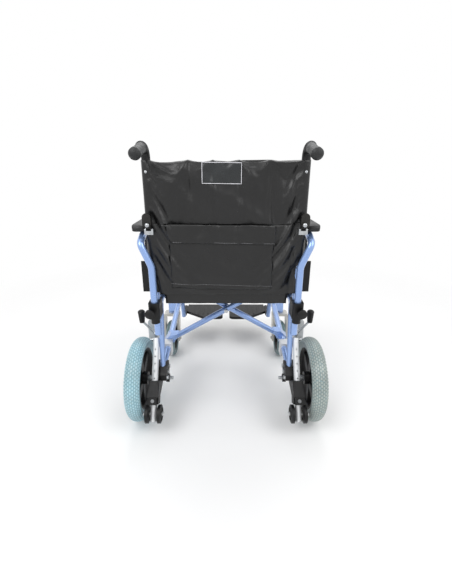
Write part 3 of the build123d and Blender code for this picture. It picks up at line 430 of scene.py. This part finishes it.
def lug_tree(material):
    """Tread lugs on each point of a skin, turned to its face and to the wheel's axle. The real pattern is
    finer than a pixel, so the lugs are drawn larger."""
    tree, start, end = new_tree("Tread lugs", ("Lug", "Rise"))
    facing = add(tree, "GeometryNodeInputNormal")
    upright = add(tree, "FunctionNodeAlignRotationToVector", {"axis": "Z"}, {"Vector": facing.outputs[0]})
    across = add(tree, "FunctionNodeAlignRotationToVector",
                 {"axis": "X", "pivot_axis": "Z", "Vector": (1, 0, 0)}, {"Rotation": upright.outputs[0]})
    narrow = add(tree, "ShaderNodeMath", {"operation": "MULTIPLY", 1: 0.6}, {0: start.outputs["Lug"]})
    size = add(tree, "ShaderNodeCombineXYZ", links={"X": narrow.outputs[0], "Y": start.outputs["Lug"],
                                                    "Z": start.outputs["Rise"]})
    block = add(tree, "GeometryNodeMeshCube", links={"Size": size.outputs[0]})
    lugs = add(tree, "GeometryNodeInstanceOnPoints",
               links={"Points": start.outputs["Geometry"], "Instance": block.outputs["Mesh"],
                      "Rotation": across.outputs[0]})
    finish_tree(tree, end, lugs.outputs[0], material)
    return tree


def stitch_tree(material):
    """Short stitches laid end to end along an edge, with a gap between them."""
    tree, start, end = new_tree("Stitches", ("Spacing", "Thick"))
    line = add(tree, "GeometryNodeMeshToCurve", links={"Mesh": start.outputs["Geometry"]})
    steps = add(tree, "GeometryNodeCurveToPoints", {"mode": "LENGTH"},
                {"Curve": line.outputs[0], "Length": start.outputs["Spacing"]})
    long = add(tree, "ShaderNodeMath", {"operation": "MULTIPLY", 1: 0.62}, {0: start.outputs["Spacing"]})
    size = add(tree, "ShaderNodeCombineXYZ", links={"X": start.outputs["Thick"], "Y": start.outputs["Thick"],
                                                    "Z": long.outputs[0]})
    block = add(tree, "GeometryNodeMeshCube", links={"Size": size.outputs[0]})
    laid = add(tree, "GeometryNodeInstanceOnPoints",
               links={"Points": steps.outputs["Points"], "Instance": block.outputs["Mesh"],
                      "Rotation": steps.outputs["Rotation"]})
    finish_tree(tree, end, laid.outputs[0], material)
    return tree


def stud_tree(material):
    """Low domed heads on points that carry the way they face."""
    tree, start, end = new_tree("Studs", ("Radius",))
    facing = add(tree, "GeometryNodeInputNamedAttribute", {"data_type": "FLOAT_VECTOR", "Name": "facing"})
    turn = add(tree, "FunctionNodeAlignRotationToVector", {"axis": "Z"}, {"Vector": facing.outputs[0]})
    ball = add(tree, "GeometryNodeMeshUVSphere", {"Segments": 16, "Rings": 8},
               {"Radius": start.outputs["Radius"]})
    dome = add(tree, "GeometryNodeTransform", {"Scale": (1, 1, 0.5)}, {"Geometry": ball.outputs["Mesh"]})
    heads = add(tree, "GeometryNodeInstanceOnPoints",
                links={"Points": start.outputs["Geometry"], "Instance": dome.outputs[0],
                       "Rotation": turn.outputs[0]})
    finish_tree(tree, end, heads.outputs[0], material)
    return tree


def crown(angle, radius, half, shoulder):
    """Offset along the axle and distance from it, for an angle across a tyre's rounded tread."""
    return half * math.sin(angle), shoulder + (radius - shoulder) * math.cos(angle)


def tyre_piece(name, node, material, body, low_radius, bead_half, shoulder):
    """A solid tyre: flat bead, bulged side walls and a round tread, turned about its own axle."""
    low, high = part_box(node)
    centre = (low + high) / 2
    radius, half = (high.z - low.z) / 2, (high.x - low.x) / 2
    profile = [(-bead_half, low_radius), (-bead_half * 1.02, low_radius + 4 * MM)]
    for step in range(17):
        profile.append(crown(math.radians(-90 + step * 180 / 16), radius, half, shoulder))
    profile += [(bead_half * 1.02, low_radius + 4 * MM), (bead_half, low_radius)]
    rings = []
    for step in range(120):
        turn = math.tau * step / 120
        rings.append([centre + Vector((x, r * math.sin(turn), r * math.cos(turn))) for x, r in profile])
    return piece_from(name, loft(name, rings, closed=True), material, body)


class WHEELCHAIR_OT_finishes(bpy.types.Operator):
    """Gives each rigid CAD piece the finish of the real one"""

    bl_idname = "wheelchair.finishes"
    bl_label = "Finish the Rigid Pieces"

    def execute(self, context):
        by_piece = {
            "Blue powder coat": ("side_frame", "armrest_tube", "hanger", "brace"),
            "Zinc plate": ("rear_axle", "brake_lever", "hinge_bracket"),
            "Silver lacquer": ("antitip_stem", "brake_body"),
            "Fork silver": ("castor_fork",),
            "Black lever coat": ("hinge_lever",),
            "Grey button": ("antitip_button",),
            "Handle rubber": ("grip",),
            "Black moulded nylon": ("castor_rim", "rear_rim", "axle_knob", "axle_carrier", "antitip_wheels",
                                    "side_panel", "armrest_sockets", "socket_knob", "brake_grip",
                                    "seat_receivers", "upper_cane", "footplate"),
        }
        look = finishes()
        for finish, kinds in by_piece.items():
            for kind in kinds:
                for side, _ in SIDES:
                    self.dress(f"{side}_{kind}", look[finish])
        self.dress("centre_bolt", look["Zinc plate"])
        return {"FINISHED"}

    def dress(self, node, material):
        piece = frame["nodes"][node]
        piece.data.materials.clear()
        piece.data.materials.append(material)


class WHEELCHAIR_OT_tyres(bpy.types.Operator):
    """Makes the four solid tyres, with tread lugs on the rear pair"""

    bl_idname = "wheelchair.tyres"
    bl_label = "Make the Tyres"

    def execute(self, context):
        size = context.scene.wheelchair_sizes
        for side, _ in SIDES:
            skin = "Tyre polyurethane" if side == "left" else "Worn tyre polyurethane"
            low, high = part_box(f"{side}_rear_tyre")
            shoulder = self.tyre(side, "rear", "tyre", "wheel", skin, 19.8 * MM, 16 * MM)
            # The lugs get the paler tread finish, which holds painted light on the tread as well as its wear
            # and dust
            tree = lug_tree(finishes()[skin.replace("polyurethane", "tread")])
            self.tread(side, low, high, shoulder, tree, size)
            self.tyre(side, "castor", "castor_ring", "castor_wheel", "Castor polyurethane", 16.8 * MM, 8 * MM)
        return {"FINISHED"}

    def tyre(self, side, kind, name, body, skin, bead_half, wall):
        """One tyre on its rim, standing for its CAD node; wall is the height of its straight side."""
        rim_low, rim_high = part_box(f"{side}_{kind}_rim")
        bead = (rim_high.z - rim_low.z) / 2
        node = f"{side}_{kind}_tyre"
        ring = tyre_piece(f"{side}_{name}", node, skin, f"{side}_{body}", bead, bead_half, bead + wall)
        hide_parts(node)
        return bead + wall

    def tread(self, side, low, high, shoulder, tree, size):
        """Points in staggered rows over the tread, which become the lugs."""
        centre = (low + high) / 2
        radius, half = (high.z - low.z) / 2, (high.x - low.x) / 2
        rows = size.lug_rows
        count = int(math.tau * radius / (size.lug * 1.75))
        points, faces = [], []
        for row in range(rows):
            angle = math.radians(-64 + 128 * row / (rows - 1))
            x, reach = crown(angle, radius - size.lug_rise * 0.2, half, shoulder)
            for step in range(count):
                turn = math.tau * (step + 0.5 * (row % 2)) / count
                points.append(centre + Vector((x, reach * math.sin(turn), reach * math.cos(turn))))
        for row in range(rows - 1):
            for step in range(count):
                a, b = row * count + step, row * count + (step + 1) % count
                faces.append((a, b, b + count, a + count))
        repeated(f"{side}_tread", points, [], faces, tree, {"Lug": size.lug, "Rise": size.lug_rise},
                 f"{side}_wheel")


def slack_sheet(columns, rows, half, low_z, high_z, back_y, slack):
    """Hangs a slightly oversize sheet between two posts and lets it settle into its own creases."""
    points, faces = [], []
    for j in range(rows):
        for i in range(columns):
            x = -half + 2 * half * i / (columns - 1)
            z = low_z + (high_z - low_z) * j / (rows - 1)
            ripple = noise.noise(Vector((x * 9, 3.1, z * 7))) * 2.5 * MM
            points.append((x, back_y + ripple, z))
    for j in range(rows - 1):
        for i in range(columns - 1):
            a = j * columns + i
            faces.append((a, a + 1, a + columns + 1, a + columns))
    mesh = bpy.data.meshes.new("hung sheet")
    mesh.from_pydata(points, [], faces)
    sheet = bpy.data.objects.new("hung sheet", mesh)
    bpy.context.scene.collection.objects.link(sheet)
    held = sheet.vertex_groups.new(name="held")
    for j in range(rows):
        held.add([j * columns, j * columns + columns - 1], 1.0, "REPLACE")
    top = (rows - 1) * columns
    for share in (0.0, 0.26, 0.42, 0.58, 0.78, 1.0):
        held.add([top + round(share * (columns - 1))], 1.0, "REPLACE")
    cloth = sheet.modifiers.new("settle", "CLOTH")
    cloth.settings.quality = 6
    cloth.settings.mass = 0.2
    cloth.settings.tension_stiffness = 25
    cloth.settings.compression_stiffness = 25
    cloth.settings.shear_stiffness = 12
    cloth.settings.bending_stiffness = 0.4
    cloth.settings.vertex_group_mass = "held"
    cloth.settings.shrink_min = -slack
    cloth.settings.effector_weights.gravity = 0.6
    cloth.collision_settings.use_self_collision = False
    last = 26
    cloth.point_cache.frame_start = 1
    cloth.point_cache.frame_end = last
    scene = bpy.context.scene
    for tick in range(1, last + 1):
        scene.frame_set(tick)
    settled = sheet.evaluated_get(bpy.context.evaluated_depsgraph_get()).data
    result = []
    for rest, vertex in zip(points, settled.vertices):
        moved = Vector(vertex.co) - Vector(rest)
        moved.y = max(-13 * MM, min(9 * MM, moved.y))
        moved.x = max(-8 * MM, min(8 * MM, moved.x))
        moved.z = max(-7 * MM, min(6 * MM, moved.z))
        result.append(Vector(rest) + moved)
    bpy.data.objects.remove(sheet)
    scene.frame_set(1)
    return result


def drape(point):
    """The long soft folds that hang across the back, and the lap of its right edge."""
    folds = (
        ((-150, 905), (30, 795), 5.0, 9), ((30, 795), (150, 722), 5.5, 10), ((105, 900), (0, 800), 4.5, 8),
        ((-185, 890), (-110, 800), 4.0, 9), ((-110, 800), (-60, 745), 3.5, 10),
        ((150, 905), (185, 760), 4.0, 8),
        ((-195, 760), (-170, 560), 4.0, 8), ((188, 720), (175, 540), 3.5, 8), ((60, 905), (95, 830), 3.5, 7),
        ((-120, 905), (-95, 850), 3.5, 7), ((-60, 850), (40, 760), 3.0, 10),
    )
    rise = 0.0
    for (ax, az), (bx, bz), high, wide in folds:
        a, b = Vector((ax, az)) * MM, Vector((bx, bz)) * MM
        place = Vector((point.x, point.z))
        along = max(0.0, min(1.0, (place - a).dot(b - a) / (b - a).length_squared))
        away = (place - a.lerp(b, along)).length / (2 * wide * MM)
        rise += high * MM * math.exp(-away * away) * (0.35 + 0.65 * math.sin(math.pi * (0.15 + 0.7 * along)))
    lap = 3.5 * MM * max(0.0, min(1.0, (214 * MM - point.x) / (8 * MM))) if point.x > 197 * MM else 0.0
    return Vector((0, lap - min(rise, 7 * MM), 0))


def cover_rings(sheet, columns, first, last, sleeve, front_y):
    """Closed rings of a back cover: the hung rear face, a sleeve round each post, and the front face."""
    rings = []
    for j in range(first, last + 1):
        row = sheet[j * columns:(j + 1) * columns]
        ring = list(row)
        z = row[-1].z
        for step in range(1, 8):
            turn = math.pi * step / 8
            ring.append(Vector((CANE_X + sleeve * math.sin(turn), CANE_Y - sleeve * math.cos(turn), z)))
        for i in range(columns - 1, -1, -1):
            dimple = 2.0 * MM * noise.noise(Vector((row[i].x * 12, 9.0, row[i].z * 12)))
            ring.append(Vector((row[i].x, front_y + dimple, row[i].z)))
        z = row[0].z
        for step in range(1, 8):
            turn = math.pi * step / 8
            ring.append(Vector((-CANE_X - sleeve * math.sin(turn), CANE_Y + sleeve * math.cos(turn), z)))
        rings.append(ring)
    return rings


def rolled_end(ring, rise, inset):
    """Two more rings that roll an end of a cover over towards its middle line."""
    out = []
    for share, lift in ((0.35, 0.7), (0.8, 1.0)):
        out.append([Vector((p.x, p.y + (CANE_Y - p.y) * share * inset, p.z + rise * lift)) for p in ring])
    return out


class WHEELCHAIR_OT_back(bpy.types.Operator):
    """Makes the two halves of the back cover, its pocket, flap, label and hems"""

    bl_idname = "wheelchair.back"
    bl_label = "Make the Back"

    columns = 97
    low_rows = 52
    high_rows = 38

    def execute(self, context):
        size = context.scene.wheelchair_sizes
        self.anchor = (-CANE_X, CANE_Y, SPLIT_Z)
        self.keep = self.folded_share()
        sleeve = CANE_R + SLEEVE_GAP
        hem_z = LOWER_LOW.z + size.hem
        top_z = UPPER_HIGH.z + TOP_RISE
        half = CANE_X - 2 * MM
        rows = self.low_rows + self.high_rows - 1
        step = (top_z - hem_z) / (rows - 1)
        self.sheet = slack_sheet(self.columns, rows, half, hem_z, top_z, CANE_Y - sleeve, size.slack)
        self.sheet = [p + drape(p) for p in self.sheet]
        self.split = round((SPLIT_Z - hem_z) / step)
        front_y = CANE_Y + sleeve * 0.55
        low = cover_rings(self.sheet, self.columns, 0, self.split, sleeve, front_y)
        high = cover_rings(self.sheet, self.columns, self.split, rows - 1, sleeve, front_y)
        low = rolled_end(low[0], -1.5 * MM, 0.5)[::-1] + low
        high = high + rolled_end(high[-1], 2 * MM, 0.8)
        self.cover("back_cover_low", low, "left_frame", "back_lower")
        self.cover("back_cover_high", high, "left_upper_back", "back_upper")
        self.inner_strip(size)
        self.pocket(size)
        self.label()
        return {"FINISHED"}

    def folded_share(self):
        """The share of its width that the chair keeps when the cross frame is folded."""
        limit = BRACE_ANGLE + math.radians(FOLD["range_deg"][1])
        return math.cos(limit) / math.cos(BRACE_ANGLE)

    def cover(self, name, rings, body, node):
        piece = piece_from(name, loft(name, rings), "Coated oxford nylon", body)
        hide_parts(node)
        self.fold(piece)

    def fold(self, piece):
        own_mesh(piece)

    def skin_y(self, x, z):
        """How far back the hung sheet stands at a place on the cover."""
        rows = len(self.sheet) // self.columns
        low, high = self.sheet[0], self.sheet[-1]
        i = (x - low.x) / (high.x - low.x) * (self.columns - 1)
        j = (z - low.z) / (high.z - low.z) * (rows - 1)
        i = max(0, min(self.columns - 2, int(i)))
        j = max(0, min(rows - 2, int(j)))
        return min(self.sheet[(j + b) * self.columns + i + a].y for a in (0, 1) for b in (0, 1))

    def patch(self, name, outline, off, thick, bulge, body, columns=64, rows=28):
        """A sewn on panel that follows the cover: outline gives its left and right edge at each height."""
        front, back = [], []
        for j in range(rows):
            v = j / (rows - 1)
            left, right = outline(v)
            for i in range(columns):
                u = i / (columns - 1)
                x = left.x + (right.x - left.x) * u
                z = left.z + (right.z - left.z) * u
                puff = bulge * math.sin(math.pi * u) ** 0.6 * math.sin(math.pi * v) ** 0.6
                edge = math.sin(math.pi * u) ** 0.5 * math.sin(math.pi * v) ** 0.5
                crease = noise.noise(Vector((x * 20 + z * 9, 1.7, z * 22 - x * 6)))
                ripple = 6 * MM * edge * crease * min(1, bulge / MM)
                y = min(self.skin_y(x, z), CANE_Y - CANE_R - 1.0 * MM) - off - puff - ripple
                front.append(Vector((x, y, z)))
                back.append(Vector((x, y + thick, z)))
        total = columns * rows
        faces = []
        for j in range(rows - 1):
            for i in range(columns - 1):
                a = j * columns + i
                faces.append((a, a + 1, a + columns + 1, a + columns))
                faces.append((total + a, total + a + columns, total + a + columns + 1, total + a + 1))
        rim = [i for i in range(columns)] + [columns * (j + 1) - 1 for j in range(1, rows)]
        rim += [total - 1 - i for i in range(1, columns)] + [columns * j for j in range(rows - 2, 0, -1)]
        for a, b in zip(rim, rim[1:] + rim[:1]):
            faces.append((a, b, total + b, total + a))
        mesh = mesh_from(name, front + back, faces)
        piece = piece_from(name, mesh, "Coated oxford nylon", body)
        self.fold(piece)
        return piece, front

    def stitches(self, name, points, body):
        sizes = {"Spacing": bpy.context.scene.wheelchair_sizes.stitch, "Thick": 0.8 * MM}
        edges = [(i, i + 1) for i in range(len(points) - 1)]
        tree = stitch_tree(finishes()["Black thread"])
        self.fold(repeated(name, points, edges, [], tree, sizes, body))

    def pocket(self, size):
        """A flat pocket whose flap covers the line where the back folds."""
        left, right = -177 * MM, 150 * MM
        low, high = 531 * MM, SPLIT_Z - 6 * MM
        droop = 8 * MM

        def body_line(v):
            z = low + (high - low) * v
            return Vector((left + 6 * MM, 0, z)), Vector((right - 6 * MM, 0, z - droop * (1 - 0.2 * v)))

        def flap_line(v):
            z = 677 * MM + (SPLIT_Z - 2 * MM - 677 * MM) * v
            cut = 14 * MM * max(0.0, 1 - v * 3.2)
            return Vector((left + cut, 0, z)), Vector((right - 0.3 * cut, 0, z - droop * 0.6))

        _, skin = self.patch("back_pocket", body_line, 1.2 * MM, size.cloth, 5 * MM, "left_frame")
        _, cover = self.patch("pocket_flap", flap_line, 9 * MM, size.cloth, 3 * MM, "left_frame", rows=16)
        columns = 64
        out = Vector((0, -0.4 * MM, 0))
        lift = out + Vector((0, 0, 4 * MM))
        self.stitches("flap_stitches", [p + lift for p in cover[:columns]], "left_frame")
        self.stitches("pocket_stitches", [p + out for p in skin[2 * columns:3 * columns]], "left_frame")

    def inner_strip(self, size):
        """The back's inner layer, which shows below the hem."""
        low, high = LOWER_LOW.z + 2 * MM, LOWER_LOW.z + size.hem + 20 * MM
        half = LOWER_HIGH.x - 14 * MM
        rings = []
        for step in range(14):
            z = low + (high - low) * step / 13
            ring = []
            for i in range(61):
                x = -half + 2 * half * i / 60
                wave = 2.2 * MM * noise.noise(Vector((x * 30, 5.0, z * 14)))
                ring.append(Vector((x, CANE_Y - 6 * MM + wave, z)))
            for i in range(60, -1, -1):
                x = -half + 2 * half * i / 60
                ring.append(Vector((x, CANE_Y + 1 * MM, z)))
            rings.append(ring)
        piece = piece_from("back_inner_strip", loft("strip", rings), "Coated oxford nylon", "left_frame")
        self.fold(piece)

    def label(self):
        """A bare film patch with a pale stitched border, where the back carries its badge."""
        left, right, low, high = -68 * MM, 44 * MM, 852 * MM, 909 * MM
        drop = 4 * MM

        def film(v):
            z = low + (high - low) * v
            return Vector((left, 0, z)), Vector((right, 0, z - drop * 0.4))

        plate, skin = self.patch("back_label", film, 1.6 * MM, 0.8 * MM, 0.6 * MM, "left_upper_back", 24, 12)
        plate.data.materials[0] = finishes()["Bare film"]
        columns, rows = 24, 12
        edge = [skin[i] for i in range(columns)] + [skin[columns * (j + 1) - 1] for j in range(1, rows)]
        edge += [skin[columns * rows - 1 - i] for i in range(1, columns)]
        edge += [skin[columns * j] for j in range(rows - 2, 0, -1)]
        rings = []
        for k, p in enumerate(edge):
            ahead = edge[(k + 1) % len(edge)] - edge[k - 1]
            side = ahead.cross(Vector((0, 1, 0))).normalized()
            out = Vector((0, -0.9 * MM, 0))
            rings.append([p + side * w + out * h for w, h in
                          ((-0.9 * MM, -0.2), (-0.9 * MM, 1), (0.9 * MM, 1), (0.9 * MM, -0.2))])
        border = piece_from("label_border", loft("border", rings, closed=True), "Film border",
                            "left_upper_back", smooth=False)
        self.fold(border)


class WHEELCHAIR_OT_seat(bpy.types.Operator):
    """Makes the padded seat sling round its two rails"""

    bl_idname = "wheelchair.seat"
    bl_label = "Make the Seat"

    def execute(self, context):
        rail = 11 * MM
        rail_x = 203 * MM
        sleeve = rail + 1.4 * MM
        rows, columns = 60, 61
        rings = []
        for j in range(rows):
            v = j / (rows - 1)
            y = SEAT_LOW.y - 4 * MM + (SEAT_HIGH.y - SEAT_LOW.y + 8 * MM) * v
            slope = (SEAT_HIGH.z - SEAT_LOW.z - 5 * MM) / (SEAT_HIGH.y - SEAT_LOW.y)
            rail_z = SEAT_LOW.z - 11.3 * MM + slope * (y - SEAT_LOW.y)
            end = min(1.0, min(v, 1 - v) * 14)
            puff = math.sin(end * math.pi / 2)
            ring = []
            for i in range(columns):
                u = i / (columns - 1)
                x = -rail_x + 2 * rail_x * u
                sag = -9 * MM * math.sin(math.pi * u) * (0.6 + 0.4 * math.sin(math.pi * v))
                crease = 1.8 * MM * noise.noise(Vector((x * 14, y * 16, 2.0)))
                ring.append(Vector((x, y, rail_z + sleeve + (sag + crease) + 2 * MM * puff)))
            for step in range(1, 8):
                turn = math.pi * step / 8
                ring.append(Vector((rail_x + sleeve * math.sin(turn), y, rail_z + sleeve * math.cos(turn))))
            for i in range(columns - 1, -1, -1):
                u = i / (columns - 1)
                x = -rail_x + 2 * rail_x * u
                edge = min(1.0, min(u, 1 - u) * 9)
                lift = (2 * sleeve - 7 * MM * puff) * edge
                sag = -9 * MM * math.sin(math.pi * u)
                ring.append(Vector((x, y, rail_z - sleeve + lift + sag * edge)))
            for step in range(1, 8):
                turn = math.pi * step / 8
                ring.append(Vector((-rail_x - sleeve * math.sin(turn), y, rail_z - sleeve * math.cos(turn))))
            rings.append(ring)
        seat = piece_from("seat_cover", loft("seat", rings), "Coated oxford nylon", "left_cross_brace")
        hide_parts("seat_sling")
        seat.parent = None
        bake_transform(seat)
        return {"FINISHED"}


class WHEELCHAIR_OT_pads(bpy.types.Operator):
    """Makes the two moulded armrest pads"""

    bl_idname = "wheelchair.pads"
    bl_label = "Make the Armrest Pads"

    def execute(self, context):
        for side, _ in SIDES:
            node = f"{side}_armrest_pad"
            low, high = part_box(node)
            name = f"{side}_arm_pad"
            rings = [self.ring(low, high, v) for v in self.steps()]
            pad = piece_from(name, loft(name, rings), "Skinned foam", f"{side}_armrest")
            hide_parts(node)
        return {"FINISHED"}

    def steps(self):
        ends = [0.0, 0.004, 0.012, 0.025, 0.045]
        return ends + [k / 20 for k in range(2, 19)] + [1 - e for e in reversed(ends)]

    def ring(self, low, high, v):
        """A rounded section of the pad, drawn in towards the two ends."""
        centre = (low + high) / 2
        end = min(1.0, min(v, 1 - v) / 0.05)
        drawn = 1 - math.sin(end * math.pi / 2)
        half_x = (high.x - low.x) / 2 * (1 - 0.2 * drawn)
        half_z = (high.z - low.z) / 2 * (1 - 0.3 * drawn)
        y = low.y + (high.y - low.y) * v
        ring = []
        for k in range(40):
            turn = math.tau * k / 40
            c, s = math.cos(turn), math.sin(turn)
            x = half_x * math.copysign(abs(c) ** 0.42, c)
            z = half_z * math.copysign(abs(s) ** 0.42, s)
            seam = 0.7 * MM * math.exp(-((z + half_z * 0.45) / (1.1 * MM)) ** 2)
            ring.append(Vector((centre.x + x - math.copysign(seam, c) * abs(c), y, centre.z + z)))
        return ring


class WHEELCHAIR_OT_small_parts(bpy.types.Operator):
    """Adds studs, screw heads, nuts and the bright plate below each hinge lever"""

    bl_idname = "wheelchair.small_parts"
    bl_label = "Add the Small Parts"

    def execute(self, context):
        back = Vector((0, -1, 0))
        stud_y = CANE_Y - CANE_R - SLEEVE_GAP - 1 * MM
        for side, sign in SIDES:
            head = Vector((sign * CANE_X, stud_y, 883 * MM))
            self.studs(f"{side}_cover_studs", [(head, back)], 4.2 * MM, f"{side}_upper_back")
            low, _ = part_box(f"{side}_hinge_lever")
            head = Vector((sign * 230 * MM, low.y, 735.5 * MM))
            self.studs(f"{side}_lever_bolt", [(head, back)], 6.5 * MM, f"{side}_back_lever")
            low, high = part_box(f"{side}_antitip_wheels")
            axle = (low + high) / 2
            nuts = [(Vector((edge, axle.y, axle.z)), Vector((way, 0, 0)))
                    for edge, way in ((low.x, -1), (high.x, 1))]
            self.studs(f"{side}_roller_nuts", nuts, 5.5 * MM, f"{side}_antitip_rollers")
            self.plate(side)
        return {"FINISHED"}

    def plate(self, side):
        """The bright block below each hinge lever."""
        low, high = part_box(f"{side}_hinge_bracket")
        built = bmesh.new()
        bmesh.ops.create_cube(built, size=1.0)
        block = Vector((high.x - low.x, 5 * MM, high.z - low.z))
        for vert in built.verts:
            vert.co = Vector((vert.co.x * block.x, vert.co.y * block.y, vert.co.z * block.z))
            vert.co += Vector(((low.x + high.x) / 2, low.y + 1.5 * MM, (low.z + high.z) / 2))
        bmesh.ops.bevel(built, geom=built.edges[:], offset=1.2 * MM, segments=3, affect="EDGES", profile=0.5)
        mesh = bpy.data.meshes.new("hinge plate")
        built.to_mesh(mesh)
        built.free()
        piece_from(f"{side}_hinge_plate", mesh, "Zinc plate", f"{side}_frame")

    def studs(self, name, places, radius, body):
        mesh = bpy.data.meshes.new(name)
        mesh.from_pydata([tuple(p) for p, _ in places], [], [])
        facing = mesh.attributes.new("facing", "FLOAT_VECTOR", "POINT")
        for k, (_, way) in enumerate(places):
            facing.data[k].vector = way
        piece = bpy.data.objects.new(name, mesh)
        bpy.context.scene.collection.objects.link(piece)
        baked(piece, stud_tree(finishes()["Zinc plate"]), {"Radius": radius})
        for face in piece.data.polygons:
            face.use_smooth = True
        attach(piece, body)


class WHEELCHAIR_OT_stage(bpy.types.Operator):
    """Makes the pale floor, the soft lights and the camera at the photograph's angle"""

    bl_idname = "wheelchair.stage"
    bl_label = "Set the Stage"

    def execute(self, context):
        scene = context.scene
        self.floor(scene)
        for place, turn, size, power in (
            ((-1.6, -1.9, 2.6), (48, 0, -38), 2.0, 46),
            ((1.9, -1.6, 2.4), (50, 0, 48), 2.0, 34),
            ((0.0, 1.4, 2.9), (-28, 0, 0), 2.4, 30),
        ):
            lamp = bpy.data.lights.new("soft box", "AREA")
            lamp.energy = power
            lamp.size = size
            holder = bpy.data.objects.new("soft box", lamp)
            holder.location = place
            holder.rotation_euler = [math.radians(a) for a in turn]
            scene.collection.objects.link(holder)
        world = bpy.data.worlds.new("white room")
        scene.world = world
        world.use_nodes = True
        tree = world.node_tree
        tree.nodes.clear()
        rays = add(tree, "ShaderNodeLightPath")
        seen = add(tree, "ShaderNodeMath", {"operation": "MAXIMUM"},
                   {0: rays.outputs["Is Camera Ray"], 1: rays.outputs["Is Glossy Ray"]})
        white = add(tree, "ShaderNodeBackground", {"Color": (1, 1, 1, 1), "Strength": 1.0})
        soft = add(tree, "ShaderNodeBackground", {"Color": (1, 1, 1, 1), "Strength": 0.62})
        mixed = add(tree, "ShaderNodeMixShader",
                    links={0: seen.outputs[0], 1: soft.outputs[0], 2: white.outputs[0]})
        add(tree, "ShaderNodeOutputWorld", links={"Surface": mixed.outputs[0]})
        scene.view_settings.view_transform = "Standard"
        self.camera(scene)
        return {"FINISHED"}

    def floor(self, scene):
        """A floor that runs back and up into a wall, with no visible corner."""
        half, near, far, bend, top = 6.0, -5.0, 5.0, 1.5, 5.0
        line = [(near, 0.0), (far - bend, 0.0)]
        for step in range(1, 13):
            turn = math.pi / 2 * step / 12
            line.append((far - bend + bend * math.sin(turn), bend - bend * math.cos(turn)))
        line.append((far, top))
        points = [(x, y, z) for y, z in line for x in (-half, half)]
        faces = [(2 * k, 2 * k + 1, 2 * k + 3, 2 * k + 2) for k in range(len(line) - 1)]
        mesh = bpy.data.meshes.new("floor")
        mesh.from_pydata(points, [], faces)
        floor = bpy.data.objects.new("floor", mesh)
        scene.collection.objects.link(floor)
        material, tree, shader, place = finish_of("Studio floor")
        shader.inputs["Base Color"].default_value = rgba(scene.wheelchair_finish.floor)
        shader.inputs["Roughness"].default_value = 0.8
        reach = add(tree, "ShaderNodeVectorMath", {"operation": "LENGTH"}, {0: place})
        fade = add(tree, "ShaderNodeMapRange", {"From Min": 0.9, "From Max": 2.2},
                   {"Value": reach.outputs["Value"]})
        rays = add(tree, "ShaderNodeLightPath")
        seen = add(tree, "ShaderNodeMath", {"operation": "MAXIMUM"},
                   {0: rays.outputs["Is Camera Ray"], 1: rays.outputs["Is Glossy Ray"]})
        share = add(tree, "ShaderNodeMath", {"operation": "MULTIPLY"},
                    {0: fade.outputs["Result"], 1: seen.outputs[0]})
        white = add(tree, "ShaderNodeEmission", {"Strength": 1.0})
        both = add(tree, "ShaderNodeMixShader",
                   links={0: share.outputs[0], 1: shader.outputs[0], 2: white.outputs[0]})
        sink = next(n for n in tree.nodes if n.type == "OUTPUT_MATERIAL")
        tree.links.new(both.outputs[0], sink.inputs["Surface"])
        mesh.materials.append(material)

    def camera(self, scene):
        """The photograph's view: straight from behind and a little above, with a wide lens."""
        focal_px, frame_px = 330.0, 584.0
        lens = bpy.data.cameras.new("camera")
        lens.sensor_width = 36.0
        lens.lens = lens.sensor_width * focal_px / frame_px
        lens.shift_y = -11.0 / frame_px
        eye = bpy.data.objects.new("camera", lens)
        eye.location = (0, middle("right_rear_tyre").y - 1.05, 0.895)
        eye.rotation_euler = (math.radians(90 - 19), 0, 0)
        scene.collection.objects.link(eye)
        scene.camera = eye


OPERATORS = (
    WHEELCHAIR_OT_stage, WHEELCHAIR_OT_finishes, WHEELCHAIR_OT_tyres, WHEELCHAIR_OT_back, WHEELCHAIR_OT_seat,
    WHEELCHAIR_OT_pads, WHEELCHAIR_OT_small_parts,
)


class WHEELCHAIR_PT_panel(bpy.types.Panel):
    """Lists the wheelchair's settings and steps"""

    bl_idname = "WHEELCHAIR_PT_panel"
    bl_label = "Wheelchair"
    bl_space_type = "VIEW_3D"
    bl_region_type = "UI"
    bl_category = "Wheelchair"

    def draw(self, context):
        for group in (context.scene.wheelchair_finish, context.scene.wheelchair_sizes):
            box = self.layout.box()
            for key in group.bl_rna.properties.keys():
                if key not in ("rna_type", "name"):
                    box.prop(group, key)
        for operator in OPERATORS:
            self.layout.operator(operator.bl_idname)


CLASSES = (WheelchairFinish, WheelchairSizes) + OPERATORS + (WHEELCHAIR_PT_panel,)


def register():
    for item in CLASSES:
        bpy.utils.register_class(item)
    bpy.types.Scene.wheelchair_finish = PointerProperty(type=WheelchairFinish)
    bpy.types.Scene.wheelchair_sizes = PointerProperty(type=WheelchairSizes)


def unregister():
    del bpy.types.Scene.wheelchair_sizes
    del bpy.types.Scene.wheelchair_finish
    for item in reversed(CLASSES):
        bpy.utils.unregister_class(item)


def main():
    register()
    bpy.ops.wheelchair.stage()
    bpy.ops.wheelchair.finishes()
    bpy.ops.wheelchair.tyres()
    bpy.ops.wheelchair.back()
    bpy.ops.wheelchair.seat()
    bpy.ops.wheelchair.pads()
    bpy.ops.wheelchair.small_parts()


if __name__ == "__main__":
    main()
